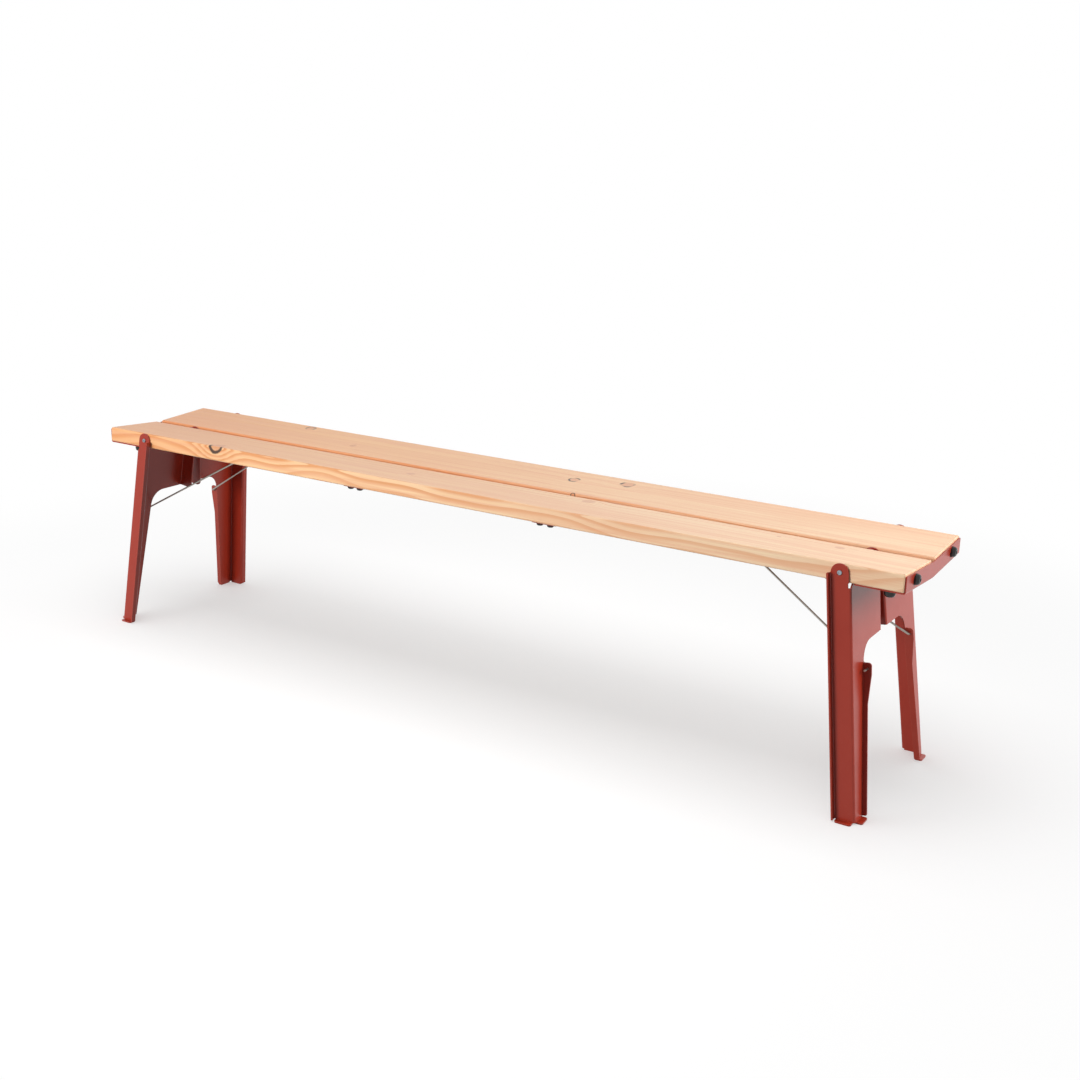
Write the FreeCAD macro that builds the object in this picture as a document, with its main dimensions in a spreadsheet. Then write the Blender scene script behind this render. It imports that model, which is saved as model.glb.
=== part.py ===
"""Beer bench: two planks in a shallow V on four folding legs of bent steel sheet.

The row frame has its origin on the floor under the middle of the seat, X along the bench,
+Y towards the back and +Z up. Every length is in millimetres and every angle in degrees.
"""
import FreeCAD, Part
import Sketcher
import math
import os
import re

Vector = FreeCAD.Vector
Placement = FreeCAD.Placement
Rotation = FreeCAD.Rotation

X_AXIS = Vector(1, 0, 0)
Y_AXIS = Vector(0, 1, 0)
Z_AXIS = Vector(0, 0, 1)
QUARTER_TURN = 90
HALF_TURN = 180
FULL_TURN = 360

# The driving sizes, each with what it means.
SIZES = {
    "plank_length": (2000, "along one plank"),
    "seat_height": (480, "floor to the raised outer edges of the seat"),
    "seat_tilt": (3.7, "slope of each plank down to the middle"),
    "plank_width": (148, "across one plank"),
    "plank_thickness": (34, "through one plank"),
    "plank_gap": (16, "between the planks at the top"),
    "plank_edge_round": (4, "radius along the plank's edges"),
    "plank_end_round": (2, "radius round the plank's ends"),
    "plank_end_play": (0.2, "plank's end to the bracket"),
    "steel": (3, "sheet of the legs, brackets, tie plates and catches"),
    "bend_inside": (1.5, "inner radius of a bend"),
    "cut_over": (10, "how far a cut runs past what it cuts"),
    "screw_play": (0.05, "round a screw in its hole"),
    "bolt_play": (0.5, "round a bolt in a sheet"),
    "pivot_inset": (118, "plank's end to the leg's pivot"),
    "leg_lean": (7.2, "how far an open leg leans out along the bench"),
    "slide_play": (0.5, "leg's sheet to the plank's edge"),
    "pivot_play": (0.08, "round the pivot screw in the leg"),
    "tab_radius": (16.9, "round tab on the pivot, and pivot to the centre lip's inner edge"),
    "strip_inner": (21, "pivot to the strip's inner edge"),
    "web_outer": (21, "pivot to the web's outer face"),
    "web_play": (0.8, "web's top edge to the plank's underside"),
    "web_corner": (8, "length of the web's cut top corners"),
    "notch_bottom": (28, "pivot down to the foot of the notch"),
    "notch_height": (9, "notch beside the tab"),
    "notch_step": (2, "notch inside the tab's edge"),
    "front_lip": (11.3, "depth of the strip's lip"),
    "lip_rise": (4, "floor to the ends of the two long lips"),
    "arch_drop": (136, "pivot down to the arch at the middle of the bench"),
    "arch_round": (38, "radius of the arch's corner"),
    "centre_lip_round": (11, "lower corner of the centre lip"),
    "web_at_ear": (54, "width of the web at the ear"),
    "web_at_foot": (37, "width of the web at the floor"),
    "ear_drop": (187.5, "pivot down to the ear's hole"),
    "ear_top": (11, "ear's hole to the ear's top"),
    "ear_width": (16, "ear, from the web's outer face"),
    "ear_hole_out": (8.5, "ear's hole, from the web's outer face"),
    "ear_round": (6, "ear's corner"),
    "ear_taper": (66, "length in which the ear narrows to the lip"),
    "edge_lip": (9, "depth of the web's lip"),
    "foot_tab_out": (11, "foot tab, from the sheet's outer face"),
    "foot_tab_width": (30, "along the web's foot tab"),
    "strip_foot_width": (32, "along the strip's foot tab"),
    "foot_tab_round": (5, "corners of a foot tab"),
    "stop_play": (0.3, "open leg to the flange that stops it"),
    "bracket_inset": (4, "plank's outer edge to the bracket's end"),
    "bracket_rise": (30, "bracket above the planks' underside"),
    "bracket_round": (2, "corners of the bracket's face"),
    "flange_round": (8, "inner corners of a flange"),
    "relief_half": (17, "half the width of the relief between the flanges"),
    "relief_rise": (2.4, "height of that relief"),
    "end_bolt_in": (52, "plank's outer edge to the end bolt"),
    "flange_bolt_in": (17, "plank's outer edge to the flange bolt"),
    "flange_bolt_back": (32.5, "bench's end to the flange bolt beside it"),
    "flange_bolt_out": (37.2, "pivot to the flange bolt beside the leg"),
    "coach_shank": (5, "radius of a coach screw"),
    "coach_head": (10, "radius of its head"),
    "coach_head_high": (7, "height of its head"),
    "coach_socket": (3.5, "radius over the corners of its socket"),
    "coach_socket_deep": (4, "depth of its socket"),
    "coach_washer": (10.5, "radius of its washer"),
    "end_washer_thick": (2, "thickness of its washer on the bracket's face"),
    "flange_washer_thick": (5, "thickness of its washer under a flange"),
    "end_bolt_length": (70, "under the head"),
    "flange_bolt_length": (30, "under the head"),
    "tie_out": (247, "middle of the bench to a tie plate"),
    "tie_width": (60, "tie plate along the bench"),
    "tie_inset": (10, "plank's outer edge to the tie plate's end"),
    "tie_round": (6, "corners of a tie plate"),
    "tie_bolt_in": (19, "plank's edge to a tie bolt"),
    "tie_bolt_pitch": (25, "between the two bolts of a pair"),
    "tie_shank": (4, "radius of a tie bolt"),
    "tie_head": (7, "radius of its head"),
    "tie_head_high": (4.4, "height of its head"),
    "tie_socket": (2.9, "radius over the corners of its socket"),
    "tie_socket_deep": (2.6, "depth of its socket"),
    "tie_washer": (8, "radius of its washer"),
    "tie_washer_thick": (1.2, "thickness of its washer"),
    "tie_bolt_length": (28, "under the head"),
    "pivot_shank": (2.5, "radius of a pivot screw"),
    "pivot_head": (4.75, "radius of its head"),
    "pivot_head_high": (2.75, "height of its head"),
    "pivot_head_play": (0.2, "its head to the leg's sheet"),
    "pivot_socket": (1.7, "radius over the corners of its socket"),
    "pivot_socket_deep": (1.5, "depth of its socket"),
    "pivot_in_wood": (12, "pivot screw inside the plank"),
    "insert_radius": (4, "threaded insert in the plank"),
    "insert_length": (15, "threaded insert in the plank"),
    "wire_radius": (2, "stay wire"),
    "wire_bend": (4, "centre-line radius of the stay's bends"),
    "wire_play": (0.08, "round the stay in the ear's hole"),
    "wire_in": (59, "plank's outer edge to the stay"),
    "wire_catch_gap": (6, "stay's upper bend to the catch"),
    "wire_drop": (9, "plank's underside to the stay's upper end"),
    "wire_foot_tail": (24, "stay's lower end, through the ear"),
    "wire_top_tail": (14, "stay's upper end, in the catch"),
    "catch_back": (214, "pivot to the stay's upper end"),
    "catch_from_gap": (8, "plank's inner edge to the catch's foot"),
    "catch_play": (0.4, "round the stay in the catch's slot"),
    "catch_foot": (25, "catch's foot across the plank"),
    "catch_foot_half": (20, "half of that foot along the bench"),
    "catch_back_wall": (12, "catch behind the stay"),
    "catch_front_wall": (11, "catch before the stay"),
    "catch_jaw": (5, "lower jaw before the stay"),
    "catch_depth": (19, "catch below the plank"),
    "catch_round": (2, "corners of the catch"),
    "catch_screw_in": (13, "catch's back to its screws"),
    "catch_screw_half": (13, "half the pitch of its screws"),
    "wood_screw": (2, "radius of a wood screw"),
    "wood_screw_head": (4, "radius of its head"),
    "wood_screw_head_high": (2.4, "height of its head"),
    "wood_screw_length": (22, "under the head"),
    "head_round_share": (0.8, "rounding of a round head, of its height"),
    "tip_share": (0.25, "end of a screw's tip, of its shank"),
    "slot_round_share": (0.9, "rounding of the catch's slot, of half its width"),
    "near_share": (0.01, "how near two lengths count as one, of the steel"),
}

# Sizes that follow from the driving ones.
FORMULAS = {
    "bench_length": "plank_length + 2 * (steel + plank_end_play)",
    "tilt_sin": "sin(seat_tilt)",
    "tilt_cos": "cos(seat_tilt)",
    "tilt_tan": "tan(seat_tilt)",
    "lean_sin": "sin(leg_lean)",
    "lean_cos": "cos(leg_lean)",
    "lean_tan": "tan(leg_lean)",
    "half_thick": "plank_thickness / 2",
    "edge_y": "plank_gap / 2 + plank_width * tilt_cos + half_thick * tilt_sin",
    "edge_z": "seat_height - half_thick * tilt_cos",
    "under_y": "edge_y + half_thick * tilt_sin",
    "under_mid": "edge_z - half_thick * tilt_cos - under_y * tilt_tan",
    "steel_upright": "steel / tilt_cos",
    "pivot_x": "plank_length / 2 - pivot_inset",
    "centre_face": "plank_width + slide_play + steel",
    "strip_face": "slide_play + steel",
    "web_top": "(half_thick + web_play + web_outer * lean_sin) / lean_cos",
    "leg_reach": "edge_z / (lean_cos * tilt_cos)",
    "leg_end": "leg_reach + cut_over",
    "lip_end": "leg_reach - lip_rise",
    "edge_slope": "(web_at_ear - web_at_foot) / (leg_reach - ear_drop)",
    "edge_start": "web_at_ear + ear_drop * edge_slope",
    "arch_start": "arch_drop + centre_face * tilt_tan",
    "arch_corner": "(edge_start - arch_start * edge_slope) / (1 - tilt_tan * edge_slope)",
    "floor_strip": "edge_y + edge_z * tilt_tan + strip_face / tilt_cos",
    "floor_x": "pivot_x + edge_z * lean_tan / tilt_cos",
    "floor_mid": "floor_x + (web_outer - strip_inner) / 2 / lean_cos",
    "floor_web": "floor_x + web_outer / lean_cos",
    "floor_edge": "edge_y + edge_z * tilt_tan",
    "stop_x": "web_outer / lean_cos + (half_thick + steel) * lean_tan",
    "flange_length": "bench_length / 2 - pivot_x - stop_x - stop_play",
    "bracket_half": "under_y - bracket_inset * tilt_cos",
    "tie_half": "under_y - tie_inset * tilt_cos",
    "ear_out": "web_outer + ear_hole_out",
    "ear_x": "ear_out * lean_cos + ear_drop * lean_sin",
    "ear_z": "ear_drop * lean_cos - ear_out * lean_sin",
    "catch_in": "plank_width - catch_from_gap - catch_foot",
    "wire_shift": "catch_in - wire_catch_gap - wire_in",
    "wire_run": "catch_back + ear_x",
    "wire_rise": "ear_z - half_thick - wire_drop",
    "wire_length": "sqrt(wire_run * wire_run + wire_rise * wire_rise)",
    "wire_slope": "atan(wire_rise / wire_run)",
    "fold_angle": "90 + leg_lean",
    "wire_share": "wire_slope / (fold_angle * 1 deg)",
    "slot_slope": "atan((ear_x + wire_share * wire_run) / (ear_z + wire_share * wire_rise))",
    "slot_sin": "sin(slot_slope)",
    "slot_cos": "cos(slot_slope)",
    "slot_tan": "tan(slot_slope)",
    "slot_half": "wire_radius + catch_play",
    "tolerance": "steel * near_share",
    "leg_cut": "2 * (web_outer + ear_width + cut_over)",
    "leg_bore": "2 * (centre_face + cut_over)",
    "sheet_cut": "2 * (steel + cut_over)",
    "pivot_length": "pivot_head_play + steel + slide_play + pivot_in_wood",
}

doc = FreeCAD.newDocument("BeerBench")
sizes = doc.addObject("Spreadsheet::Sheet", "Sizes")
worked = doc.addObject("Spreadsheet::Sheet", "Worked")


def bound(text):
    """Put the sheet's name before each size in an expression."""
    def prefix(match):
        word = match.group()
        if word in SIZES:
            return "Sizes." + word
        if word in FORMULAS:
            return "Worked." + word
        return word
    return re.sub(r"[a-z_]+", prefix, text)


def fill_sheets():
    for row, (name, (number, meaning)) in enumerate(SIZES.items(), start=1):
        sizes.set(f"A{row}", name)
        sizes.set(f"B{row}", str(number))
        sizes.set(f"C{row}", meaning)
        sizes.setAlias(f"B{row}", name)
    doc.recompute()
    for row, (name, formula) in enumerate(FORMULAS.items(), start=1):
        own = re.sub(r"Worked\.", "", bound(formula))
        worked.set(f"A{row}", name)
        worked.set(f"B{row}", "=" + own)
        worked.setAlias(f"B{row}", name)
    doc.recompute()


def value(text):
    """The present number of an expression in the sheets' names."""
    return float(sizes.evalExpression(bound(text)))


def signed(sign, text):
    return f"{sign} * ({text})"


fill_sheets()


# Frames

def plank_frame(side):
    """Frame of a plank: on its outer edge at half thickness; side is -1 front, +1 back."""
    place = Vector(0, side * value("edge_y"), value("edge_z"))
    return Placement(place, Rotation(X_AXIS, side * value("seat_tilt")))


def leg_frame(end, side):
    """Frame of a leg: on its pivot, with Z up along the leg; end is -1 left, +1 right."""
    lean = Placement(Vector(end * value("pivot_x"), 0, 0), Rotation(Y_AXIS, -end * value("leg_lean")))
    return plank_frame(side).multiply(lean)


def wire_frame(end, side):
    """Frame of a stay: on the ear's hole, with X along the stay."""
    place = Vector(end * value("pivot_x + ear_x"), -side * value("wire_in"), -value("ear_z"))
    turn = Rotation(Y_AXIS, end * value("wire_slope"))
    return plank_frame(side).multiply(Placement(place, turn))


# Sketches and features

def new_body(label, placement):
    body = doc.addObject("PartDesign::Body", label)
    body.Label = label
    body.Placement = placement
    return body


def origin_plane(body, role):
    return next(part for part in body.Origin.OriginFeatures if part.Role == role)


def new_sketch(body, role, name, offset="0"):
    """A sketch on one of the body's origin planes, moved along that plane's normal."""
    sketch = body.newObject("Sketcher::SketchObject", name)
    sketch.AttachmentSupport = [(origin_plane(body, role), "")]
    sketch.MapMode = "FlatFace"
    if offset != "0":
        sketch.setExpression("AttachmentOffset.Base.z", bound(offset))
    return sketch


def framed_sketch(body, frame, name):
    """A sketch of the body that lies in the XY plane of another frame."""
    sketch = new_sketch(body, "XY_Plane", name)
    sketch.AttachmentOffset = body.Placement.inverse().multiply(frame)
    return sketch


def fix_point(sketch, index, position, across, along):
    """Tie one point of a sketch to two expressions, measured from the sketch's origin."""
    for kind, text in (("DistanceX", across), ("DistanceY", along)):
        number = sketch.addConstraint(Sketcher.Constraint(kind, index, position, value(text)))
        sketch.setExpression(f"Constraints[{number}]", bound(text))


def draw_outline(sketch, corners):
    """Draw a closed outline; a corner is (across, along) or (across, along, radius)."""
    places = [Vector(value(corner[0]), value(corner[1]), 0) for corner in corners]
    count = len(corners)
    starts = []
    ends = []
    rounds = []
    for index, corner in enumerate(corners):
        here = places[index]
        back = (places[index - 1] - here).normalize()
        ahead = (places[(index + 1) % count] - here).normalize()
        if len(corner) == 2:
            starts.append(here)
            ends.append(here)
            rounds.append(None)
            continue
        radius = value(corner[2])
        half = back.getAngle(ahead) / 2
        reach = radius / math.tan(half)
        middle = here + (back + ahead).normalize() * (radius / math.sin(half))
        ends.append(here + back * reach)
        starts.append(here + ahead * reach)
        rounds.append((middle, radius))
    lines = []
    for index in range(count):
        line = Part.LineSegment(starts[index], ends[(index + 1) % count])
        lines.append(sketch.addGeometry(line))
    for index, corner in enumerate(corners):
        before = lines[index - 1]
        after = lines[index]
        if rounds[index] is None:
            sketch.addConstraint(Sketcher.Constraint("Coincident", before, 2, after, 1))
            fix_point(sketch, after, 1, corner[0], corner[1])
            continue
        draw_round(sketch, corner, places[index], rounds[index], ends[index], starts[index], before, after)


def draw_round(sketch, corner, place, round_off, first, last, before, after):
    """Round one corner of an outline by an arc tangent to its two lines."""
    middle, radius = round_off
    first_angle = math.atan2(first.y - middle.y, first.x - middle.x)
    last_angle = math.atan2(last.y - middle.y, last.x - middle.x)
    turn = (last_angle - first_angle) % (2 * math.pi)
    forward = turn < math.pi
    begin, finish = (first_angle, last_angle) if forward else (last_angle, first_angle)
    circle = Part.Circle(middle, Z_AXIS, radius)
    arc = sketch.addGeometry(Part.ArcOfCircle(circle, begin, finish))
    first_end, last_end = (1, 2) if forward else (2, 1)
    point = sketch.addGeometry(Part.Point(place), True)
    fix_point(sketch, point, 1, corner[0], corner[1])
    sketch.addConstraint(Sketcher.Constraint("PointOnObject", point, 1, before))
    sketch.addConstraint(Sketcher.Constraint("PointOnObject", point, 1, after))
    sketch.addConstraint(Sketcher.Constraint("Tangent", before, 2, arc, first_end))
    sketch.addConstraint(Sketcher.Constraint("Tangent", after, 1, arc, last_end))
    number = sketch.addConstraint(Sketcher.Constraint("Radius", arc, radius))
    sketch.setExpression(f"Constraints[{number}]", bound(corner[2]))


def draw_circle(sketch, across, along, radius):
    middle = Vector(value(across), value(along), 0)
    circle = sketch.addGeometry(Part.Circle(middle, Z_AXIS, value(radius)))
    fix_point(sketch, circle, 3, across, along)
    number = sketch.addConstraint(Sketcher.Constraint("Radius", circle, value(radius)))
    sketch.setExpression(f"Constraints[{number}]", bound(radius))


def extrude(body, kind, sketch, length, name, reverse=False, both=False):
    """A pad or pocket of a given length, to one side of the sketch or half to each."""
    feature = body.newObject("PartDesign::" + kind, name)
    feature.Profile = sketch
    feature.Reversed = reverse
    if both:
        feature.SideType = "Symmetric"
    feature.setExpression("Length", bound(length))
    return feature


def round_edges(body, name, radius, choose):
    """Round the edges of the body's last feature that choose() picks out."""
    doc.recompute()
    base = body.Tip
    names = [f"Edge{index}" for index, edge in enumerate(base.Shape.Edges, start=1) if choose(edge)]
    if not names:
        raise RuntimeError(f"{body.Label}: no edges for {name}")
    fillet = body.newObject("PartDesign::Fillet", name)
    fillet.Base = (base, names)
    fillet.setExpression("Radius", bound(radius))
    return fillet


def lies_near(number, target):
    """Whether two lengths count as one."""
    return abs(number - target) < value("tolerance")


# Planks

def make_plank(label, side):
    """A plank with eased edges and a hole for each insert, screw and bolt."""
    body = new_body(label, plank_frame(side))
    inward = -side
    section = new_sketch(body, "YZ_Plane", label + "_section")
    edge = "plank_edge_round"
    draw_outline(section, [
        ("0", "-half_thick", edge),
        (signed(inward, "plank_width"), "-half_thick", edge),
        (signed(inward, "plank_width"), "half_thick", edge),
        ("0", "half_thick", edge),
    ])
    extrude(body, "Pad", section, "plank_length", label + "_pad", both=True)
    end = value("plank_length / 2")
    round_edges(body, label + "_ends", "plank_end_round",
                lambda line: all(lies_near(abs(point.Point.x), end) for point in line.Vertexes))
    for name, offset, reverse in (("outer", "0", side < 0), ("inner", signed(side, "plank_width"), side > 0)):
        holes = new_sketch(body, "XZ_Plane", f"{label}_{name}_holes", offset)
        for way in (-1, 1):
            draw_circle(holes, signed(way, "pivot_x"), "0", "insert_radius")
        extrude(body, "Pocket", holes, "insert_length", f"{label}_{name}_inserts", reverse=not reverse)
    for way, name in ((-1, "left"), (1, "right")):
        hole = new_sketch(body, "YZ_Plane", f"{label}_{name}_end_hole", signed(way, "plank_length / 2"))
        draw_circle(hole, signed(inward, "end_bolt_in"), "0", "coach_shank + screw_play")
        extrude(body, "Pocket", hole, "end_bolt_length", f"{label}_{name}_end_bore", reverse=way < 0)
    drill_underside(body, label, inward)
    return body


def flange_bolt_place(end, side):
    """Bench's middle to a flange bolt: beside the bench's end at one corner, beside the leg at the next."""
    return "pivot_x + flange_bolt_out" if end == side else "bench_length / 2 - flange_bolt_back"


def drill_underside(body, label, inward):
    """Blind holes for the flange bolts, the tie bolts and the catches' screws."""
    groups = {"coach": [], "tie": [], "wood": []}
    for way in (-1, 1):
        groups["coach"].append((signed(way, flange_bolt_place(way, -inward)), "flange_bolt_in"))
        for step in (-1, 1):
            for across in ("tie_bolt_in", "plank_width - tie_bolt_in"):
                groups["tie"].append((signed(way, f"tie_out + {step} * tie_bolt_pitch / 2"), across))
            screw = signed(way, f"pivot_x - catch_back + {step} * catch_screw_half")
            groups["wood"].append((screw, "catch_in + catch_screw_in"))
    bores = {
        "coach": ("coach_shank + screw_play", "flange_bolt_length - flange_washer_thick - steel + screw_play"),
        "tie": ("tie_shank + screw_play", "tie_bolt_length - tie_washer_thick - steel + screw_play"),
        "wood": ("wood_screw + screw_play", "wood_screw_length - steel + screw_play"),
    }
    for name, places in groups.items():
        radius, depth = bores[name]
        holes = new_sketch(body, "XY_Plane", f"{label}_{name}_holes", "-half_thick")
        for along, across in places:
            draw_circle(holes, along, signed(inward, across), radius)
        extrude(body, "Pocket", holes, depth, f"{label}_{name}_bores", reverse=True)


# End brackets

def make_bracket(label, end):
    """A folded bracket: a V-shaped face over both planks' ends and a flange under each."""
    body = new_body(label, Placement(Vector(end * value("bench_length / 2"), 0, 0), Rotation()))
    inward = end > 0
    face = new_sketch(body, "YZ_Plane", label + "_face")
    low = "under_mid + bracket_half * tilt_tan - steel_upright"
    high = "under_mid + bracket_half * tilt_tan + bracket_rise"
    draw_outline(face, [
        ("-bracket_half", low),
        ("0", "under_mid - steel_upright"),
        ("bracket_half", low),
        ("bracket_half", high, "bracket_round"),
        ("0", "under_mid + bracket_rise"),
        ("-bracket_half", high, "bracket_round"),
    ])
    extrude(body, "Pad", face, "steel", label + "_face_pad", reverse=inward)
    flanges = new_sketch(body, "YZ_Plane", label + "_flanges")
    draw_outline(flanges, [
        ("-bracket_half", low),
        ("0", "under_mid - steel_upright"),
        ("bracket_half", low),
        ("bracket_half", low + " + steel_upright"),
        ("0", "under_mid"),
        ("-bracket_half", low + " + steel_upright"),
    ])
    extrude(body, "Pad", flanges, "flange_length", label + "_flange_pad", reverse=inward)
    add_bracket_rounds(body, label, end)
    for side in (-1, 1):
        make_bracket_holes(body, label, end, side)
    return body


def add_bracket_rounds(body, label, end):
    """The bends between face and flanges, and the flanges' round inner corners."""
    relief = value("relief_half")
    reach = value("flange_length")
    thick = value("steel")

    def along_bend(line, depth, drop):
        """A long edge of a flange at a given depth from the face and drop from its top."""
        points = [vertex.Point for vertex in line.Vertexes]
        if len(points) != 2 or line.Length < relief:
            return False
        for point in points:
            under = value("under_mid") + abs(point.y) * value("tilt_tan") - drop
            if not lies_near(abs(point.x), depth) or not lies_near(point.z, under):
                return False
        return True

    def at_corner(line):
        """A short upright edge at a flange's free end."""
        points = [vertex.Point for vertex in line.Vertexes]
        same = all(lies_near(abs(point.x), reach) for point in points)
        return same and lies_near(line.Length, value("steel_upright")) and lies_near(points[0].y, points[1].y)

    round_edges(body, label + "_outer_bend", "steel + bend_inside",
                lambda line: along_bend(line, 0, value("steel_upright")))
    round_edges(body, label + "_inner_bend", "bend_inside", lambda line: along_bend(line, thick, 0))
    relieve_bend(body, label, end)
    round_edges(body, label + "_corners", "flange_round", at_corner)


def relieve_bend(body, label, end):
    """Part the two flanges at the middle and cut the face's bend there."""
    gap = new_sketch(body, "XY_Plane", label + "_gap")
    draw_outline(gap, [
        (signed(-end, "steel"), "-relief_half"),
        (signed(-end, "steel"), "relief_half"),
        (signed(-end, "flange_length + cut_over"), "relief_half"),
        (signed(-end, "flange_length + cut_over"), "-relief_half"),
    ])
    extrude(body, "Pocket", gap, "seat_height", label + "_gap_cut", reverse=True)
    notch = new_sketch(body, "YZ_Plane", label + "_notch")
    top = "under_mid + relief_rise - steel_upright"
    draw_outline(notch, [
        ("-relief_half", top),
        ("-relief_half", f"{top} - cut_over"),
        ("relief_half", f"{top} - cut_over"),
        ("relief_half", top),
    ])
    extrude(body, "Pocket", notch, "sheet_cut", label + "_notch_cut", both=True)


def make_bracket_holes(body, label, end, side):
    """One hole through the face and one through the flange, for each plank."""
    name = f"{label}_{'front' if side < 0 else 'back'}"
    face = new_sketch(body, "YZ_Plane", name + "_face_hole")
    across = signed(side, "edge_y - end_bolt_in * tilt_cos")
    draw_circle(face, across, "edge_z - end_bolt_in * tilt_sin", "coach_shank + bolt_play")
    extrude(body, "Pocket", face, "sheet_cut", name + "_face_bore", both=True)
    flange = framed_sketch(body, plank_frame(side), name + "_flange_hole")
    along = signed(end, flange_bolt_place(end, side))
    draw_circle(flange, along, signed(-side, "flange_bolt_in"), "coach_shank + bolt_play")
    extrude(body, "Pocket", flange, "half_thick + steel + cut_over", name + "_flange_bore")


# Tie plates

def make_tie(label, end):
    """A V-bent plate screwed under both planks."""
    body = new_body(label, Placement(Vector(end * value("tie_out"), 0, 0), Rotation()))
    section = new_sketch(body, "YZ_Plane", label + "_section")
    high = "under_mid + tie_half * tilt_tan"
    draw_outline(section, [
        ("-tie_half", high),
        ("-tie_half", high + " - steel_upright"),
        ("0", "under_mid - steel_upright"),
        ("tie_half", high + " - steel_upright"),
        ("tie_half", high),
        ("0", "under_mid"),
    ])
    extrude(body, "Pad", section, "tie_width", label + "_pad", both=True)
    half = value("tie_half")

    def at_end(line):
        points = [vertex.Point for vertex in line.Vertexes]
        ends = all(lies_near(abs(point.y), half) for point in points)
        return ends and lies_near(points[0].x, points[-1].x)

    round_edges(body, label + "_corners", "tie_round", at_end)
    for side in (-1, 1):
        holes = framed_sketch(body, plank_frame(side), f"{label}_{'front' if side < 0 else 'back'}_holes")
        for step in (-1, 1):
            along = signed(end, f"tie_out + {step} * tie_bolt_pitch / 2")
            for across in ("tie_bolt_in", "plank_width - tie_bolt_in"):
                draw_circle(holes, along, signed(-side, across), "tie_shank + bolt_play")
        extrude(body, "Pocket", holes, "half_thick + steel + cut_over", holes.Name + "_bores")
    return body


# Legs

def make_leg(label, end, side):
    """A leg half folded from one sheet.

    Its section runs from a lip at the front over the strip on the plank's edge, round into the
    web under the plank and round again into the centre lip in the gap. Both strip and centre
    lip end at the top in a round tab on a pivot screw.
    """
    body = new_body(label, leg_frame(end, side))
    inward = -side

    def out(text):
        return signed(end, text)

    def deep(text):
        return signed(inward, text)

    inner = "bend_inside"
    outer = "bend_inside + steel"
    section = new_sketch(body, "XY_Plane", label + "_section")
    draw_outline(section, [
        (out("-strip_inner"), deep("-strip_face - front_lip")),
        (out("-strip_inner + steel"), deep("-strip_face - front_lip")),
        (out("-strip_inner + steel"), deep("-strip_face"), inner),
        (out("web_outer"), deep("-strip_face"), outer),
        (out("web_outer"), deep("centre_face"), outer),
        (out("-tab_radius"), deep("centre_face")),
        (out("-tab_radius"), deep("centre_face - steel")),
        (out("web_outer - steel"), deep("centre_face - steel"), inner),
        (out("web_outer - steel"), deep("-slide_play"), inner),
        (out("-strip_inner"), deep("-slide_play"), outer),
    ])
    extrude(body, "Pad", section, "leg_end", label + "_channel", reverse=True)
    add_tabs(body, label, inward)
    add_edge_lip(body, label, out, inward)
    cut_web(body, label, deep)
    trim_edge_lip(body, label, deep, end)
    cut_tab_shoulders(body, label, out, inward)
    cut_front_lip(body, label, deep)
    round_edges(body, label + "_centre_corner", "centre_lip_round", at_centre_corner)
    bore_leg(body, label, out)
    add_feet(body, label, end, side)
    return body


def at_centre_corner(line):
    """The lower corner of the centre lip, an edge across the sheet."""
    points = [vertex.Point for vertex in line.Vertexes]
    if len(points) != 2 or not lies_near(abs(abs(points[0].y) - abs(points[1].y)), value("steel")):
        return False
    inside = all(lies_near(abs(point.x), value("tab_radius")) for point in points)
    deep = value("centre_face - steel - tolerance")
    low = -value("arch_drop")
    return inside and all(abs(point.y) > deep and abs(point.z - low) < value("steel") for point in points)


def add_tabs(body, label, inward):
    """The round tabs over the pivots, at the strip and at the centre lip."""
    planes = (("strip", "strip_face", False), ("centre", "-centre_face", True))
    for name, offset, flip in planes:
        disc = new_sketch(body, "XZ_Plane", f"{label}_{name}_disc", signed(inward, offset))
        draw_circle(disc, "0", "0", "tab_radius")
        towards_plank = (inward > 0) != flip
        extrude(body, "Pad", disc, "steel", f"{label}_{name}_tab", reverse=towards_plank)


def add_edge_lip(body, label, out, inward):
    """A block with the side view of the web's lip and its ear; later cuts make it a sheet."""
    block = new_sketch(body, "XZ_Plane", label + "_ear_view", signed(-inward, "web_at_ear + steel"))
    draw_outline(block, [
        (out("web_outer - steel"), "-ear_drop + ear_top"),
        (out("web_outer + ear_width"), "-ear_drop + ear_top", "ear_round"),
        (out("web_outer + ear_width"), "-ear_drop - ear_top"),
        (out("web_outer + edge_lip"), "-ear_drop - ear_taper"),
        (out("web_outer + edge_lip"), "-lip_end", "steel"),
        (out("web_outer - steel"), "-lip_end"),
    ])
    depth = "web_at_ear - web_at_foot + 3 * steel"
    extrude(body, "Pad", block, depth, label + "_ear_block", reverse=inward < 0)


def cut_web(body, label, deep):
    """Cut the web's top under the plank and the arch beside the leg."""
    top = new_sketch(body, "YZ_Plane", label + "_web_top")
    draw_outline(top, [
        (deep("-slide_play"), "cut_over"),
        (deep("plank_width + slide_play"), "cut_over"),
        (deep("plank_width + slide_play"), "-notch_bottom"),
        (deep("plank_width - web_corner"), "-web_top"),
        (deep("web_corner"), "-web_top"),
        (deep("-slide_play"), "-notch_bottom"),
    ])
    extrude(body, "Pocket", top, "leg_cut", label + "_web_top_cut", both=True)
    arch = new_sketch(body, "YZ_Plane", label + "_arch")
    draw_outline(arch, [
        (deep("centre_face + cut_over"), "-arch_drop + cut_over * tilt_tan"),
        (deep("arch_corner"), "-arch_start + arch_corner * tilt_tan", "arch_round"),
        (deep("edge_start - leg_end * edge_slope"), "-leg_end"),
        (deep("centre_face + cut_over"), "-leg_end"),
    ])
    extrude(body, "Pocket", arch, "leg_cut", label + "_arch_cut", both=True)


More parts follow.
